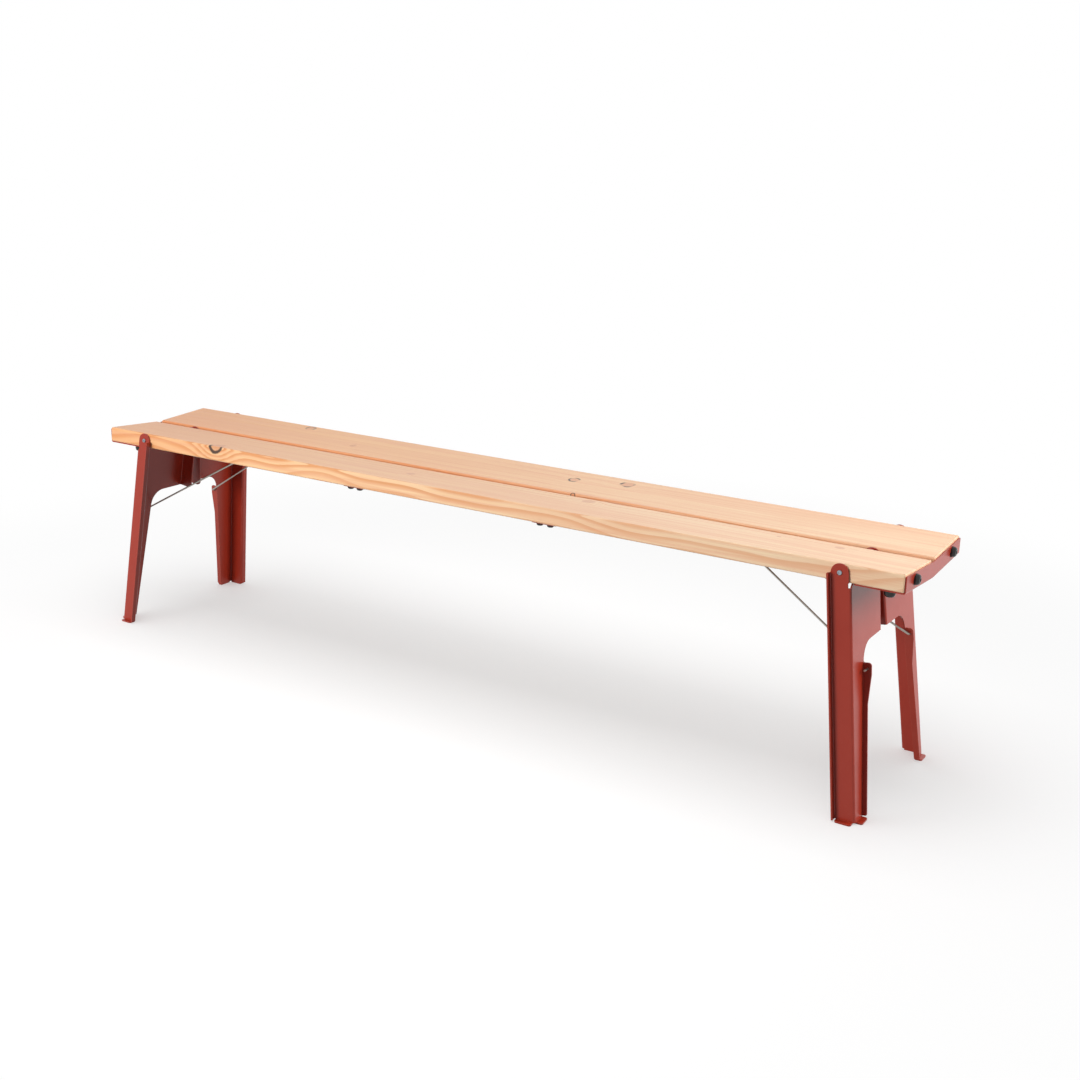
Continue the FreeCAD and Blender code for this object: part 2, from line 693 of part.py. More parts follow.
def trim_edge_lip(body, label, deep, end):
    """Take away the block outside the web's lip, so that a sheet is left along the web's edge."""
    trim = new_sketch(body, "YZ_Plane", label + "_lip_trim", signed(end, "web_outer"))
    top = "-ear_drop + ear_top + cut_over"
    draw_outline(trim, [
        (deep("edge_start - (ear_drop - ear_top - cut_over) * edge_slope - steel"), top),
        (deep("edge_start - leg_end * edge_slope - steel"), "-leg_end"),
        (deep("web_at_foot - steel - cut_over"), "-leg_end"),
        (deep("web_at_foot - steel - cut_over"), top),
    ])
    extrude(body, "Pocket", trim, "ear_width + cut_over", label + "_lip_cut", reverse=end > 0)


def cut_tab_shoulders(body, label, out, inward):
    """Cut beside both tabs, with a notch where the bend begins."""
    depth = "cut_over + steel + bend_inside"
    planes = (("strip", "strip_face + cut_over", False), ("centre", "-centre_face - cut_over", True))
    for name, offset, flip in planes:
        view = new_sketch(body, "XZ_Plane", f"{label}_{name}_shoulder", signed(inward, offset))
        draw_outline(view, [
            (out("tab_radius"), "cut_over"),
            (out("web_outer + cut_over"), "cut_over"),
            (out("web_outer + cut_over"), "-notch_bottom"),
            (out("tab_radius - notch_step"), "-notch_bottom"),
            (out("tab_radius - notch_step"), "-notch_bottom + notch_height"),
            (out("tab_radius"), "-notch_bottom + notch_height"),
        ])
        away = (inward < 0) != flip
        extrude(body, "Pocket", view, depth, f"{label}_{name}_shoulder_cut", reverse=away)


def cut_front_lip(body, label, deep):
    """End the strip's lip above the floor."""
    end = new_sketch(body, "YZ_Plane", label + "_front_lip_end")
    draw_outline(end, [
        (deep("-strip_face"), "-lip_end"),
        (deep("-strip_face - front_lip - cut_over"), "-lip_end"),
        (deep("-strip_face - front_lip - cut_over"), "-leg_end - cut_over"),
        (deep("-strip_face"), "-leg_end - cut_over"),
    ])
    extrude(body, "Pocket", end, "leg_cut", label + "_front_lip_cut", both=True)


def bore_leg(body, label, out):
    """The pivot's hole through both tabs, and the stay's hole through the ear."""
    pivot = new_sketch(body, "XZ_Plane", label + "_pivot_hole")
    draw_circle(pivot, "0", "0", "pivot_shank + pivot_play")
    extrude(body, "Pocket", pivot, "leg_bore", label + "_pivot_bore", both=True)
    ear = new_sketch(body, "XZ_Plane", label + "_ear_hole")
    draw_circle(ear, out("ear_out"), "-ear_drop", "wire_radius + wire_play")
    extrude(body, "Pocket", ear, "leg_bore", label + "_ear_bore", both=True)


def add_feet(body, label, end, side):
    """Cut the leg level just above the floor and turn a tab outwards from strip and web."""
    lifted = Placement(Vector(0, 0, value("steel")), Rotation())
    floor = framed_sketch(body, lifted, label + "_floor")
    draw_outline(floor, [
        (signed(end, "floor_x - plank_width"), signed(side, "floor_strip + plank_width")),
        (signed(end, "floor_x - plank_width"), signed(side, "floor_strip - 2 * plank_width")),
        (signed(end, "floor_x + plank_width"), signed(side, "floor_strip - 2 * plank_width")),
        (signed(end, "floor_x + plank_width"), signed(side, "floor_strip + plank_width")),
    ])
    extrude(body, "Pocket", floor, "2 * cut_over", label + "_floor_cut")
    tabs = framed_sketch(body, Placement(), label + "_foot_tabs")
    corner = "foot_tab_round"
    draw_outline(tabs, [
        (signed(end, "floor_mid - strip_foot_width / 2"), signed(side, "floor_strip - steel")),
        (signed(end, "floor_mid - strip_foot_width / 2"), signed(side, "floor_strip + foot_tab_out"), corner),
        (signed(end, "floor_mid + strip_foot_width / 2"), signed(side, "floor_strip + foot_tab_out"), corner),
        (signed(end, "floor_mid + strip_foot_width / 2"), signed(side, "floor_strip - steel")),
    ])
    near = "floor_edge - (web_at_foot - steel - foot_tab_width) / tilt_cos"
    far = "floor_edge - (web_at_foot - steel) / tilt_cos"
    draw_outline(tabs, [
        (signed(end, "floor_web - steel"), signed(side, near)),
        (signed(end, "floor_web + foot_tab_out"), signed(side, near), corner),
        (signed(end, "floor_web + foot_tab_out"), signed(side, far), corner),
        (signed(end, "floor_web - steel"), signed(side, far)),
    ])
    extrude(body, "Pad", tabs, "steel", label + "_feet")


# Stays and their catches

def make_stay(label, end, side):
    """A stay bent from one wire: through the ear below and into the catch above."""
    body = new_body(label, wire_frame(end, side))
    inward = -side
    path = new_sketch(body, "XY_Plane", label + "_path")
    tail = signed(-inward, "wire_foot_tail")
    top = signed(-end, "wire_length")
    near = signed(inward, "wire_shift")
    far = signed(inward, "wire_shift + wire_top_tail")
    draw_path(path, [("0", tail), ("0", "0"), (top, near), (top, far)], "wire_bend")
    section = new_sketch(body, "XZ_Plane", label + "_wire", signed(inward, "wire_foot_tail"))
    draw_circle(section, "0", "0", "wire_radius")
    pipe = body.newObject("PartDesign::AdditivePipe", label + "_pipe")
    pipe.Profile = section
    pipe.Spine = path
    return body


def draw_path(sketch, points, radius):
    """An open line through points, with each inner corner rounded."""
    places = [Vector(value(point[0]), value(point[1]), 0) for point in points]
    last = len(points) - 1
    starts = list(places)
    ends = list(places)
    middles = [None] * len(points)
    bend = value(radius)
    for index in range(1, last):
        here = places[index]
        back = (places[index - 1] - here).normalize()
        ahead = (places[index + 1] - here).normalize()
        half = back.getAngle(ahead) / 2
        ends[index] = here + back * (bend / math.tan(half))
        starts[index] = here + ahead * (bend / math.tan(half))
        middles[index] = here + (back + ahead).normalize() * (bend / math.sin(half))
    lines = [sketch.addGeometry(Part.LineSegment(starts[index], ends[index + 1])) for index in range(last)]
    for index in range(1, last):
        corner = (points[index][0], points[index][1], radius)
        draw_round(sketch, corner, places[index], (middles[index], bend), ends[index], starts[index],
                   lines[index - 1], lines[index])
    fix_point(sketch, lines[0], 1, points[0][0], points[0][1])
    fix_point(sketch, lines[-1], 2, points[last][0], points[last][1])


def make_catch(label, end, side):
    """An angle screwed under the plank; its slanted slot takes the stay's upper end."""
    body = new_body(label, plank_frame(side))
    inward = -side

    def ahead(text):
        """A place before the stay's end, towards the middle of the bench."""
        return signed(end, f"pivot_x - catch_back - ({text})")

    wall = new_sketch(body, "XZ_Plane", label + "_wall_view", signed(-inward, "catch_in"))
    low = "-half_thick - wire_drop"
    draw_outline(wall, [
        (ahead("-catch_back_wall"), "-half_thick"),
        (ahead("catch_front_wall"), "-half_thick"),
        (ahead("catch_front_wall"), f"{low} + slot_half / slot_cos - catch_front_wall * slot_tan"),
        (ahead("-slot_half * slot_cos + slot_half * slot_sin"),
         f"{low} + slot_half * slot_sin + slot_half * slot_cos", "slot_round_share * slot_half"),
        (ahead("-slot_half * slot_cos - slot_half * slot_sin"),
         f"{low} + slot_half * slot_sin - slot_half * slot_cos", "slot_round_share * slot_half"),
        (ahead("catch_jaw"), f"{low} - slot_half / slot_cos - catch_jaw * slot_tan"),
        (ahead("catch_jaw"), "-half_thick - catch_depth", "catch_round"),
        (ahead("-catch_back_wall"), "-half_thick - catch_depth", "catch_round"),
    ])
    extrude(body, "Pad", wall, "steel", label + "_wall", reverse=inward > 0)
    foot = new_sketch(body, "XY_Plane", label + "_foot_view", "-half_thick")
    near = signed(inward, "catch_in")
    far = signed(inward, "catch_in + catch_foot")
    draw_outline(foot, [
        (ahead("-catch_foot_half"), near, "catch_round"),
        (ahead("catch_foot_half"), near, "catch_round"),
        (ahead("catch_foot_half"), far, "catch_round"),
        (ahead("-catch_foot_half"), far, "catch_round"),
    ])
    extrude(body, "Pad", foot, "steel", label + "_foot", reverse=True)
    holes = new_sketch(body, "XY_Plane", label + "_screw_holes", "-half_thick")
    for step in (-1, 1):
        across = signed(inward, "catch_in + catch_screw_in")
        draw_circle(holes, ahead(f"{step} * catch_screw_half"), across, "wood_screw + bolt_play")
    extrude(body, "Pocket", holes, "steel + cut_over", label + "_screw_bores")
    return body


# Fasteners

def make_washer(name, placement, outer, hole, thick):
    disc = doc.addObject("Part::Cylinder", name + "_disc")
    disc.setExpression("Radius", bound(outer))
    disc.setExpression("Height", bound(thick))
    bore = doc.addObject("Part::Cylinder", name + "_bore")
    bore.setExpression("Radius", bound(hole))
    bore.setExpression("Height", bound(f"{thick} + 2 * cut_over"))
    bore.setExpression("Placement.Base.z", bound("-cut_over"))
    washer = doc.addObject("Part::Cut", name)
    washer.Base = disc
    washer.Tool = bore
    washer.Placement = placement
    return washer


def make_round_screw(name, placement, shank, head, high, length, socket=None):
    """A round-headed screw turned about its axis, seated at its own origin."""
    body = new_body(name, placement)
    profile = new_sketch(body, "XZ_Plane", name + "_profile")
    draw_outline(profile, [
        ("0", high),
        (head, high, f"head_round_share * {high}"),
        (head, "0"),
        (shank, "0"),
        (shank, f"{shank} - {length}"),
        (f"{shank} * tip_share", f"-({length})"),
        ("0", f"-({length})"),
    ])
    turned = body.newObject("PartDesign::Revolution", name + "_turned")
    turned.Profile = profile
    turned.ReferenceAxis = (profile, ["V_Axis"])
    turned.Angle = FULL_TURN
    if socket:
        doc.recompute()
        recess = body.newObject("PartDesign::SubtractivePrism", name + "_socket")
        recess.setExpression("Circumradius", bound(socket[0]))
        recess.setExpression("Height", bound(f"{socket[1]} + cut_over"))
        recess.AttachmentSupport = [(origin_plane(body, "XY_Plane"), "")]
        recess.MapMode = "FlatFace"
        recess.setExpression("AttachmentOffset.Base.z", bound(f"{high} - {socket[1]}"))
    return body


def make_group(label, members):
    """Like fasteners as one sub-part."""
    group = doc.addObject("Part::Compound", label)
    group.Label = label
    group.Links = members
    return group


def seat(frame, place, turn=None):
    """A placement inside another frame; turn brings Z to the fastener's outward way."""
    return frame.multiply(Placement(place, turn or Rotation()))


DOWN = Rotation(X_AXIS, HALF_TURN)


def make_coach_screws(end_name, end):
    """The coach screws of one bracket, through its face and through its flanges."""
    outward = Rotation(Y_AXIS, QUARTER_TURN * end)
    washers = {"end": [], "flange": []}
    bolts = {"end": [], "flange": []}
    for side, side_name in ((-1, "front"), (1, "back")):
        frame = plank_frame(side)
        place = frame.multVec(Vector(0, -side * value("end_bolt_in"), 0))
        face = Placement(Vector(end * value("bench_length / 2"), place.y, place.z), outward)
        along = value(flange_bolt_place(end, side))
        low = -value("half_thick + steel")
        flange = seat(frame, Vector(end * along, -side * value("flange_bolt_in"), low), DOWN)
        for kind, spot in (("end", face), ("flange", flange)):
            name = f"{end_name}_{side_name}_{kind}"
            thick = kind + "_washer_thick"
            washers[kind].append(make_washer(name + "_washer", spot, "coach_washer",
                                             "coach_shank + bolt_play", thick))
            lifted = spot.multiply(Placement(Vector(0, 0, value(thick)), Rotation()))
            socket = ("coach_socket", "coach_socket_deep")
            bolts[kind].append(make_round_screw(name + "_bolt", lifted, "coach_shank", "coach_head",
                                                "coach_head_high", kind + "_bolt_length", socket))
    parts = []
    for kind in ("end", "flange"):
        parts.append(make_group(f"{end_name}_{kind}_bolts", bolts[kind]))
        parts.append(make_group(f"{end_name}_{kind}_washers", washers[kind]))
    return parts


def make_tie_bolts(end_name, end):
    """Four screws through each plank's half of a tie plate."""
    bolts = []
    washers = []
    thick = value("tie_washer_thick")
    low = -value("half_thick + steel")
    for side in (-1, 1):
        for step in (-1, 1):
            along = end * (value("tie_out") + step * value("tie_bolt_pitch") / 2)
            for index, across in enumerate(("tie_bolt_in", "plank_width - tie_bolt_in")):
                spot = seat(plank_frame(side), Vector(along, -side * value(across), low), DOWN)
                name = f"{end_name}_tie_{side + 1}{step + 1}{index}"
                washers.append(make_washer(name + "_washer", spot, "tie_washer",
                                           "tie_shank + bolt_play", "tie_washer_thick"))
                lifted = spot.multiply(Placement(Vector(0, 0, thick), Rotation()))
                socket = ("tie_socket", "tie_socket_deep")
                bolts.append(make_round_screw(name + "_bolt", lifted, "tie_shank", "tie_head",
                                              "tie_head_high", "tie_bolt_length", socket))
    return [make_group(end_name + "_tie_bolts", bolts), make_group(end_name + "_tie_washers", washers)]


def make_pivots():
    """The pivot screws of the legs and the threaded inserts that hold them."""
    groups = {"outer": [], "inner": []}
    inserts = []
    socket = ("pivot_socket", "pivot_socket_deep")
    for end in (-1, 1):
        for side in (-1, 1):
            frame = plank_frame(side)
            for place, away in (("outer", side), ("inner", -side)):
                face = 0 if place == "outer" else -side * value("plank_width")
                turn = Rotation(X_AXIS, -QUARTER_TURN * away)
                name = f"{place}_pivot_{end + 1}{side + 1}"
                gap = away * value("slide_play + steel + pivot_head_play")
                spot = seat(frame, Vector(end * value("pivot_x"), face + gap, 0), turn)
                groups[place].append(make_round_screw(name, spot, "pivot_shank", "pivot_head",
                                                      "pivot_head_high", "pivot_length", socket))
                inside = seat(frame, Vector(end * value("pivot_x"), face, 0), turn)
                inserts.append(make_insert(name + "_insert", inside))
    return [
        make_group("outer_pivot_screws", groups["outer"]),
        make_group("inner_pivot_screws", groups["inner"]),
        make_group("pivot_inserts", inserts),
    ]


def make_insert(name, placement):
    """A brass sleeve sunk into the plank's edge, round the pivot screw's thread."""
    sleeve = doc.addObject("Part::Cylinder", name + "_sleeve")
    sleeve.setExpression("Radius", bound("insert_radius - screw_play"))
    sleeve.setExpression("Height", bound("insert_length - screw_play"))
    sleeve.setExpression("Placement.Base.z", bound("-insert_length + screw_play"))
    thread = doc.addObject("Part::Cylinder", name + "_thread")
    thread.setExpression("Radius", bound("pivot_shank + screw_play"))
    thread.setExpression("Height", bound("insert_length + 2 * cut_over"))
    thread.setExpression("Placement.Base.z", bound("-insert_length - cut_over"))
    insert = doc.addObject("Part::Cut", name)
    insert.Base = sleeve
    insert.Tool = thread
    insert.Placement = placement
    return insert


def make_catch_screws():
    screws = []
    low = -value("half_thick + steel")
    for end in (-1, 1):
        for side in (-1, 1):
            for step in (-1, 1):
                along = end * (value("pivot_x - catch_back") + step * value("catch_screw_half"))
                across = -side * value("catch_in + catch_screw_in")
                spot = seat(plank_frame(side), Vector(along, across, low), DOWN)
                name = f"catch_screw_{end + 1}{side + 1}{step + 1}"
                screws.append(make_round_screw(name, spot, "wood_screw", "wood_screw_head",
                                               "wood_screw_head_high", "wood_screw_length"))
    return make_group("catch_screws", screws)


# The whole bench

ENDS = (("left", -1), ("right", 1))
SIDES = (("front", -1), ("back", 1))

subparts = []
for side_name, side in SIDES:
    subparts.append(make_plank(side_name + "_plank", side))
for end_name, end in ENDS:
    subparts.append(make_bracket(end_name + "_end_bracket", end))
    subparts.append(make_tie(end_name + "_tie_plate", end))
    subparts.extend(make_coach_screws(end_name, end))
    subparts.extend(make_tie_bolts(end_name, end))
    for side_name, side in SIDES:
        corner = f"{end_name}_{side_name}"
        subparts.append(make_leg(corner + "_leg", end, side))
        subparts.append(make_stay(corner + "_stay", end, side))
        subparts.append(make_catch(corner + "_catch", end, side))
subparts.extend(make_pivots())
subparts.append(make_catch_screws())

doc.recompute()


def check_document():
    """Stop when any object failed or any sub-part has no sound shape."""
    for item in doc.Objects:
        if "Invalid" in item.State or "Error" in item.State:
            raise RuntimeError(f"{item.Label} failed: {item.State}")
    for part in subparts:
        if part.Shape.isNull() or not part.Shape.isValid():
            raise RuntimeError(f"{part.Label} has no sound shape")


def write_subparts():
    os.makedirs("parts", exist_ok=True)
    for part in subparts:
        part.Shape.exportStep(f"parts/{part.Label}.step")
        box = part.Shape.BoundBox
        print(f"{part.Label}: {len(part.Shape.Solids)} solids, {part.Shape.Volume:.0f} mm3, "
              f"x {box.XMin:.1f} {box.XMax:.1f}, y {box.YMin:.1f} {box.YMax:.1f}, "
              f"z {box.ZMin:.1f} {box.ZMax:.1f}")


check_document()
write_subparts()
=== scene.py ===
# %% [markdown]
# # Dressing a beer bench
# The bench arrives as finished solids, each one a node of the frame: two planks, folded steel
# legs, brackets, wire stays and their screws. This lesson gives each of them its real surface
# and sets up a plain studio round the bench. The shapes are right already, so we leave every
# solid where it stands and only change what it is painted with.

import math

import bpy
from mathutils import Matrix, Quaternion, Vector


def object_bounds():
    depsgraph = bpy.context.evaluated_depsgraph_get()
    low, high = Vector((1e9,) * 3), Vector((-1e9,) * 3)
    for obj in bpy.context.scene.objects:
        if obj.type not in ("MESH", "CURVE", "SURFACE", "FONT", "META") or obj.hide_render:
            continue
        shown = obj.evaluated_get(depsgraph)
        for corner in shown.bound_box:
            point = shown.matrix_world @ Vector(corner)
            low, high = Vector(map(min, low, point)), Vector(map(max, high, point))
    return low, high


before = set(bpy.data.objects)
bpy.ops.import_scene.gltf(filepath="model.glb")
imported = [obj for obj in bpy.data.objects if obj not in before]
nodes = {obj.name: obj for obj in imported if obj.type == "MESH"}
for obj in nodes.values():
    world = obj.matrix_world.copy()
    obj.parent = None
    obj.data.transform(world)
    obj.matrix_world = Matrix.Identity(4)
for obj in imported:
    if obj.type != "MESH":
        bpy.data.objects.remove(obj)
cad_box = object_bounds()
print(len(nodes), "nodes, from", tuple(round(v, 3) for v in cad_box[0]),
      "to", tuple(round(v, 3) for v in cad_box[1]))

# %% [markdown]
# ## The camera
# A product picture like this one is taken with a normal lens, from a good three metres away and
# about chest height. We could nudge the camera by eye, but the corners of the planks and the
# feet give the view away exactly, so we write it as a place, two angles and a slight roll. The
# frame is square, and Blender spreads the sensor's 36 mm over its width.

# %% Place the camera
CAMERA_PLACE = (1.747508, -2.543615, 1.239793)
CAMERA_AZIMUTH = math.radians(32.16692)
CAMERA_ELEVATION = math.radians(16.37243)
CAMERA_ROLL = math.radians(1.25771)
LENS_MM = 48.462
SENSOR_MM = 36
NEAREST = 0.05
FARTHEST = 200

ahead = Vector((-math.sin(CAMERA_AZIMUTH) * math.cos(CAMERA_ELEVATION),
                math.cos(CAMERA_AZIMUTH) * math.cos(CAMERA_ELEVATION),
                -math.sin(CAMERA_ELEVATION)))
roll = Quaternion((0, 0, 1), CAMERA_ROLL)
lens = bpy.data.cameras.new("camera")
lens.lens = LENS_MM
lens.sensor_width = SENSOR_MM
lens.clip_start = NEAREST
lens.clip_end = FARTHEST
camera = bpy.data.objects.new("camera", lens)
camera.location = CAMERA_PLACE
camera.rotation_mode = "QUATERNION"
camera.rotation_quaternion = ahead.to_track_quat("-Z", "Y") @ roll
bpy.context.scene.collection.objects.link(camera)
bpy.context.scene.camera = camera
bpy.context.scene.view_settings.view_transform = "Standard"
print("camera looks along", tuple(round(v, 3) for v in ahead))

# %% [markdown]
# ## Small helpers for nodes
# Every finish below is a short chain of shader nodes. Writing each node and link by hand would
# bury the idea, so a few helpers do the wiring. The first turns a colour, written as people
# read it off a colour chart, from 0 to 255, into the linear light that shaders add up. The
# next ones add a node and fill its sockets, and do one step of arithmetic.

# %% Write the helpers for colours and sums
def linear(red, green, blue):
    """A chart colour as linear light, with full opacity."""
    parts = [channel / 255 for channel in (red, green, blue)]
    return [c / 12.92 if c <= 0.04045 else ((c + 0.055) / 1.055) ** 2.4 for c in parts] + [1]


def add_node(tree, kind, inputs=None, **settings):
    """A new node with its own settings, and values or links on inputs by name or number."""
    node = tree.nodes.new(kind)
    for name, setting in settings.items():
        setattr(node, name, setting)
    for name, given in (inputs or {}).items():
        if isinstance(given, bpy.types.NodeSocket):
            tree.links.new(given, node.inputs[name])
        else:
            node.inputs[name].default_value = given
    return node


def maths(tree, operation, *terms):
    """One arithmetic step on sockets or numbers; gives the resulting socket."""
    node = add_node(tree, "ShaderNodeMath", dict(enumerate(terms)), operation=operation)
    return node.outputs[0]


def vector_maths(tree, operation, *terms):
    """One step on vectors; gives the resulting vector or number socket."""
    node = add_node(tree, "ShaderNodeVectorMath", dict(enumerate(terms)), operation=operation)
    return node.outputs["Value" if operation in ("LENGTH", "DOT_PRODUCT") else "Vector"]


def scale_vector(tree, vector, factor):
    """A vector made longer or shorter by a number."""
    return add_node(tree, "ShaderNodeVectorMath", {0: vector, "Scale": factor},
                    operation="SCALE").outputs["Vector"]


print("pure orange in linear light:", [round(v, 3) for v in linear(255, 128, 0)])

# %% [markdown]
# Three more helpers do what every natural surface needs: a soft step from one value to another,
# one colour laid over another, and noise that can be drawn out in one direction. In all that
# follows, a step is written as where it starts and ends and, unless it goes from 0 to 1, what
# it gives at either end. The node that mixes has several sockets of the same name, for numbers,
# vectors and colours, so the ones for colours are picked by their number.

# %% Write the helpers for blends and noise
MIX_FIRST = 6
MIX_SECOND = 7
MIX_RESULT = 2


def ease(tree, amount, low, high, bottom=0, top=1):
    """A smooth step of amount from bottom at low to top at high."""
    node = add_node(tree, "ShaderNodeMapRange",
                    {"Value": amount, "From Min": low, "From Max": high,
                     "To Min": bottom, "To Max": top},
                    interpolation_type="SMOOTHSTEP")
    return node.outputs["Result"]


def blend_colours(tree, share, first, second):
    """The first colour with a share of the second laid over it."""
    node = add_node(tree, "ShaderNodeMix",
                    {"Factor": share, MIX_FIRST: first, MIX_SECOND: second}, data_type="RGBA")
    return node.outputs[MIX_RESULT]


def noise(tree, place, scale, detail=2, rough=0.5, stretch=(1, 1, 1)):
    """Soft noise from 0 to 1 at a place, drawn out by stretch; the socket of its value."""
    stretched = vector_maths(tree, "MULTIPLY", place, stretch)
    node = add_node(tree, "ShaderNodeTexNoise", {"Vector": stretched, "Scale": scale,
                                                 "Detail": detail, "Roughness": rough})
    return node.outputs["Fac"]


print("colour sockets of the mixing node:", MIX_FIRST, MIX_SECOND, "and", MIX_RESULT)

# %% [markdown]
# A node group is a little machine with named inputs and outputs that several materials can use.
# This helper opens one, makes its sockets and hands back what is needed to fill it. Groups here
# only give out masks and values: the shader itself stays in each material, where anyone who
# opens the material looks for it.

# %% Write the helpers for groups
SOCKET_KINDS = {float: "NodeSocketFloat", tuple: "NodeSocketVector"}
ORIGIN = (0.0, 0.0, 0.0)


def open_group(name, inputs, outputs):
    """A new shader node group; gives the group, its input sockets and its output node."""
    group = bpy.data.node_groups.new(name, "ShaderNodeTree")
    for label, default in inputs.items():
        kind = SOCKET_KINDS[type(default)]
        socket = group.interface.new_socket(name=label, in_out="INPUT", socket_type=kind)
        socket.default_value = default
    for label in outputs:
        group.interface.new_socket(name=label, in_out="OUTPUT", socket_type="NodeSocketFloat")
    given = group.nodes.new("NodeGroupInput").outputs
    result = group.nodes.new("NodeGroupOutput")
    return group, given, result


def use_group(tree, group, inputs):
    """Put a group in a material with its own values; gives its outputs."""
    return add_node(tree, "ShaderNodeGroup", inputs, node_tree=group).outputs


def open_material(name):
    """A new material; gives it, its tree, its shader and the place on the piece."""
    material = bpy.data.materials.new(name)
    material.use_nodes = True
    tree = material.node_tree
    place = add_node(tree, "ShaderNodeTexCoord").outputs["Object"]
    return material, tree, tree.nodes["Principled BSDF"], place


print("socket kinds:", SOCKET_KINDS)

# %% [markdown]
# ## Growth rings
# Pine gets a pale layer of wood each spring and a darker one each summer, so a trunk is a stack
# of cones round its heart. A plank is a slice through them: long lines on its face, wide waves
# on its edges, arcs on its ends. An image could only show one of these. Distance from the heart
# line, bent a little by noise, shows all of them at once, so that is what this group measures.
# The heart line wanders as it runs along the bench, a fine ripple bends each ring by itself,
# and knots push the rings aside. Fast spring growth fades slowly into the dark line, which then
# stops sharply, and some years leave a fainter line than others.

# %% Measure how far a point lies from the heart
DRIFT_PER_METRE = 1.3
MIDDLE = 0.5
RIPPLE_STRETCH = (2.6, 18, 18)
RIPPLE_DEPTH = 0.006

rings, given, result = open_group(
    "growth_rings",
    {"Place": ORIGIN, "Heart": ORIGIN, "Ring Width": 0.005, "Wander": 0.02, "Swell": 0.0},
    ["Late Wood"])
along = add_node(rings, "ShaderNodeSeparateXYZ", {"Vector": given["Place"]}).outputs["X"]
run = maths(rings, "ADD", maths(rings, "MULTIPLY", along, DRIFT_PER_METRE),
            vector_maths(rings, "LENGTH", given["Heart"]))
drift = add_node(rings, "ShaderNodeTexNoise", {"W": run, "Scale": 1.0, "Detail": 2.0},
                 noise_dimensions="1D").outputs["Color"]
drift = vector_maths(rings, "SUBTRACT", drift, (MIDDLE, MIDDLE, MIDDLE))
drift = scale_vector(rings, drift, given["Wander"])
from_heart = vector_maths(rings, "SUBTRACT", given["Place"], given["Heart"])
from_heart = vector_maths(rings, "SUBTRACT", from_heart, drift)
distance = vector_maths(rings, "LENGTH", vector_maths(rings, "MULTIPLY", from_heart, (0, 1, 1)))
ripple = maths(rings, "SUBTRACT", noise(rings, given["Place"], 1, stretch=RIPPLE_STRETCH), MIDDLE)
distance = maths(rings, "ADD", distance, maths(rings, "MULTIPLY", ripple, RIPPLE_DEPTH))
distance = maths(rings, "ADD", distance, given["Swell"])
print("distance from the heart:", len(rings.nodes), "nodes")

# %% [markdown]
# Divided by the width of one year's growth, the distance counts the years. What is left over
# tells the season, and the whole number picks how strong that year's line is.

# %% Turn the distance into years and seasons
SUMMER_GROWS = (0.28, 0.82)
SUMMER_STOPS = (0.92, 1.0, 1, 0)
FAINTEST_YEAR = 0.45

count = maths(rings, "DIVIDE", distance, given["Ring Width"])
year = maths(rings, "FLOOR", count)
season = maths(rings, "SUBTRACT", count, year)
tone = add_node(rings, "ShaderNodeTexWhiteNoise", {"W": year}, noise_dimensions="1D")
summer = maths(rings, "MULTIPLY", ease(rings, season, *SUMMER_GROWS),
               ease(rings, season, *SUMMER_STOPS))
strength = maths(rings, "ADD", FAINTEST_YEAR,
                 maths(rings, "MULTIPLY", tone.outputs["Value"], 1 - FAINTEST_YEAR))
rings.links.new(maths(rings, "MULTIPLY", summer, strength), result.inputs["Late Wood"])
print("growth rings:", len(rings.nodes), "nodes")

# %% [markdown]
# ## Knots
# A knot is the foot of a branch that the trunk grew round. It is a narrow cone of its own, thin
# near the heart and widest at the bark side, with a dark, partly broken rim, and the long grain
# swells round it. Painting ovals would only work on one face, so this group takes a centre, the
# branch's direction and its radius, and measures how far each point lies from the branch.
# Where the branch meets an arris, the rim then runs over it by itself, as it does on the real
# plank. The rim is only dark close to the surface, so that it doesn't come out on the far side.

# %% Measure how far a point lies from the branch
TAPER = (-0.10, 0.01, 0.35, 1)
LUMPS = 70
UNEVENNESS = 0.3

knot, given, result = open_group(
    "knot",
    {"Place": ORIGIN, "Centre": ORIGIN, "Branch": (0.0, 0.0, 1.0), "Radius": 0.01, "Bark": 0.5},
    ["Swell", "Core", "Rim"])
offset = vector_maths(knot, "SUBTRACT", given["Place"], given["Centre"])
lengthwise = vector_maths(knot, "DOT_PRODUCT", offset, given["Branch"])
spoke = scale_vector(knot, given["Branch"], lengthwise)
spread = vector_maths(knot, "LENGTH", vector_maths(knot, "SUBTRACT", offset, spoke))
uneven = maths(knot, "SUBTRACT", noise(knot, given["Place"], LUMPS), MIDDLE)
tapered = maths(knot, "MULTIPLY", given["Radius"], ease(knot, lengthwise, *TAPER))
turns = maths(knot, "ADD", maths(knot, "DIVIDE", spread, tapered),
              maths(knot, "MULTIPLY", uneven, UNEVENNESS))
print("distance from the branch:", len(knot.nodes), "nodes")

# %% [markdown]
# From that one distance, in radii of the branch, come all three results: a bell-shaped swell
# that pushes the rings away, a core that fades out at one radius, and a thin rim round it,
# broken up by coarse noise. A whole rim has a high bark value, a clean knot a low one.

# %% Give the knot its swell, core and rim
SWELL_FALL = -0.16
CORE_FADE = (0.8, 1.05, 1, 0)
RIM_STARTS = (0.68, 0.82)
RIM_ENDS = (1.0, 1.14, 1, 0)
BARK_PATCHES = 38
BARK_BREAKS = (0.75, 1.0)
BARK_SHOWS = (-0.009, -0.004)

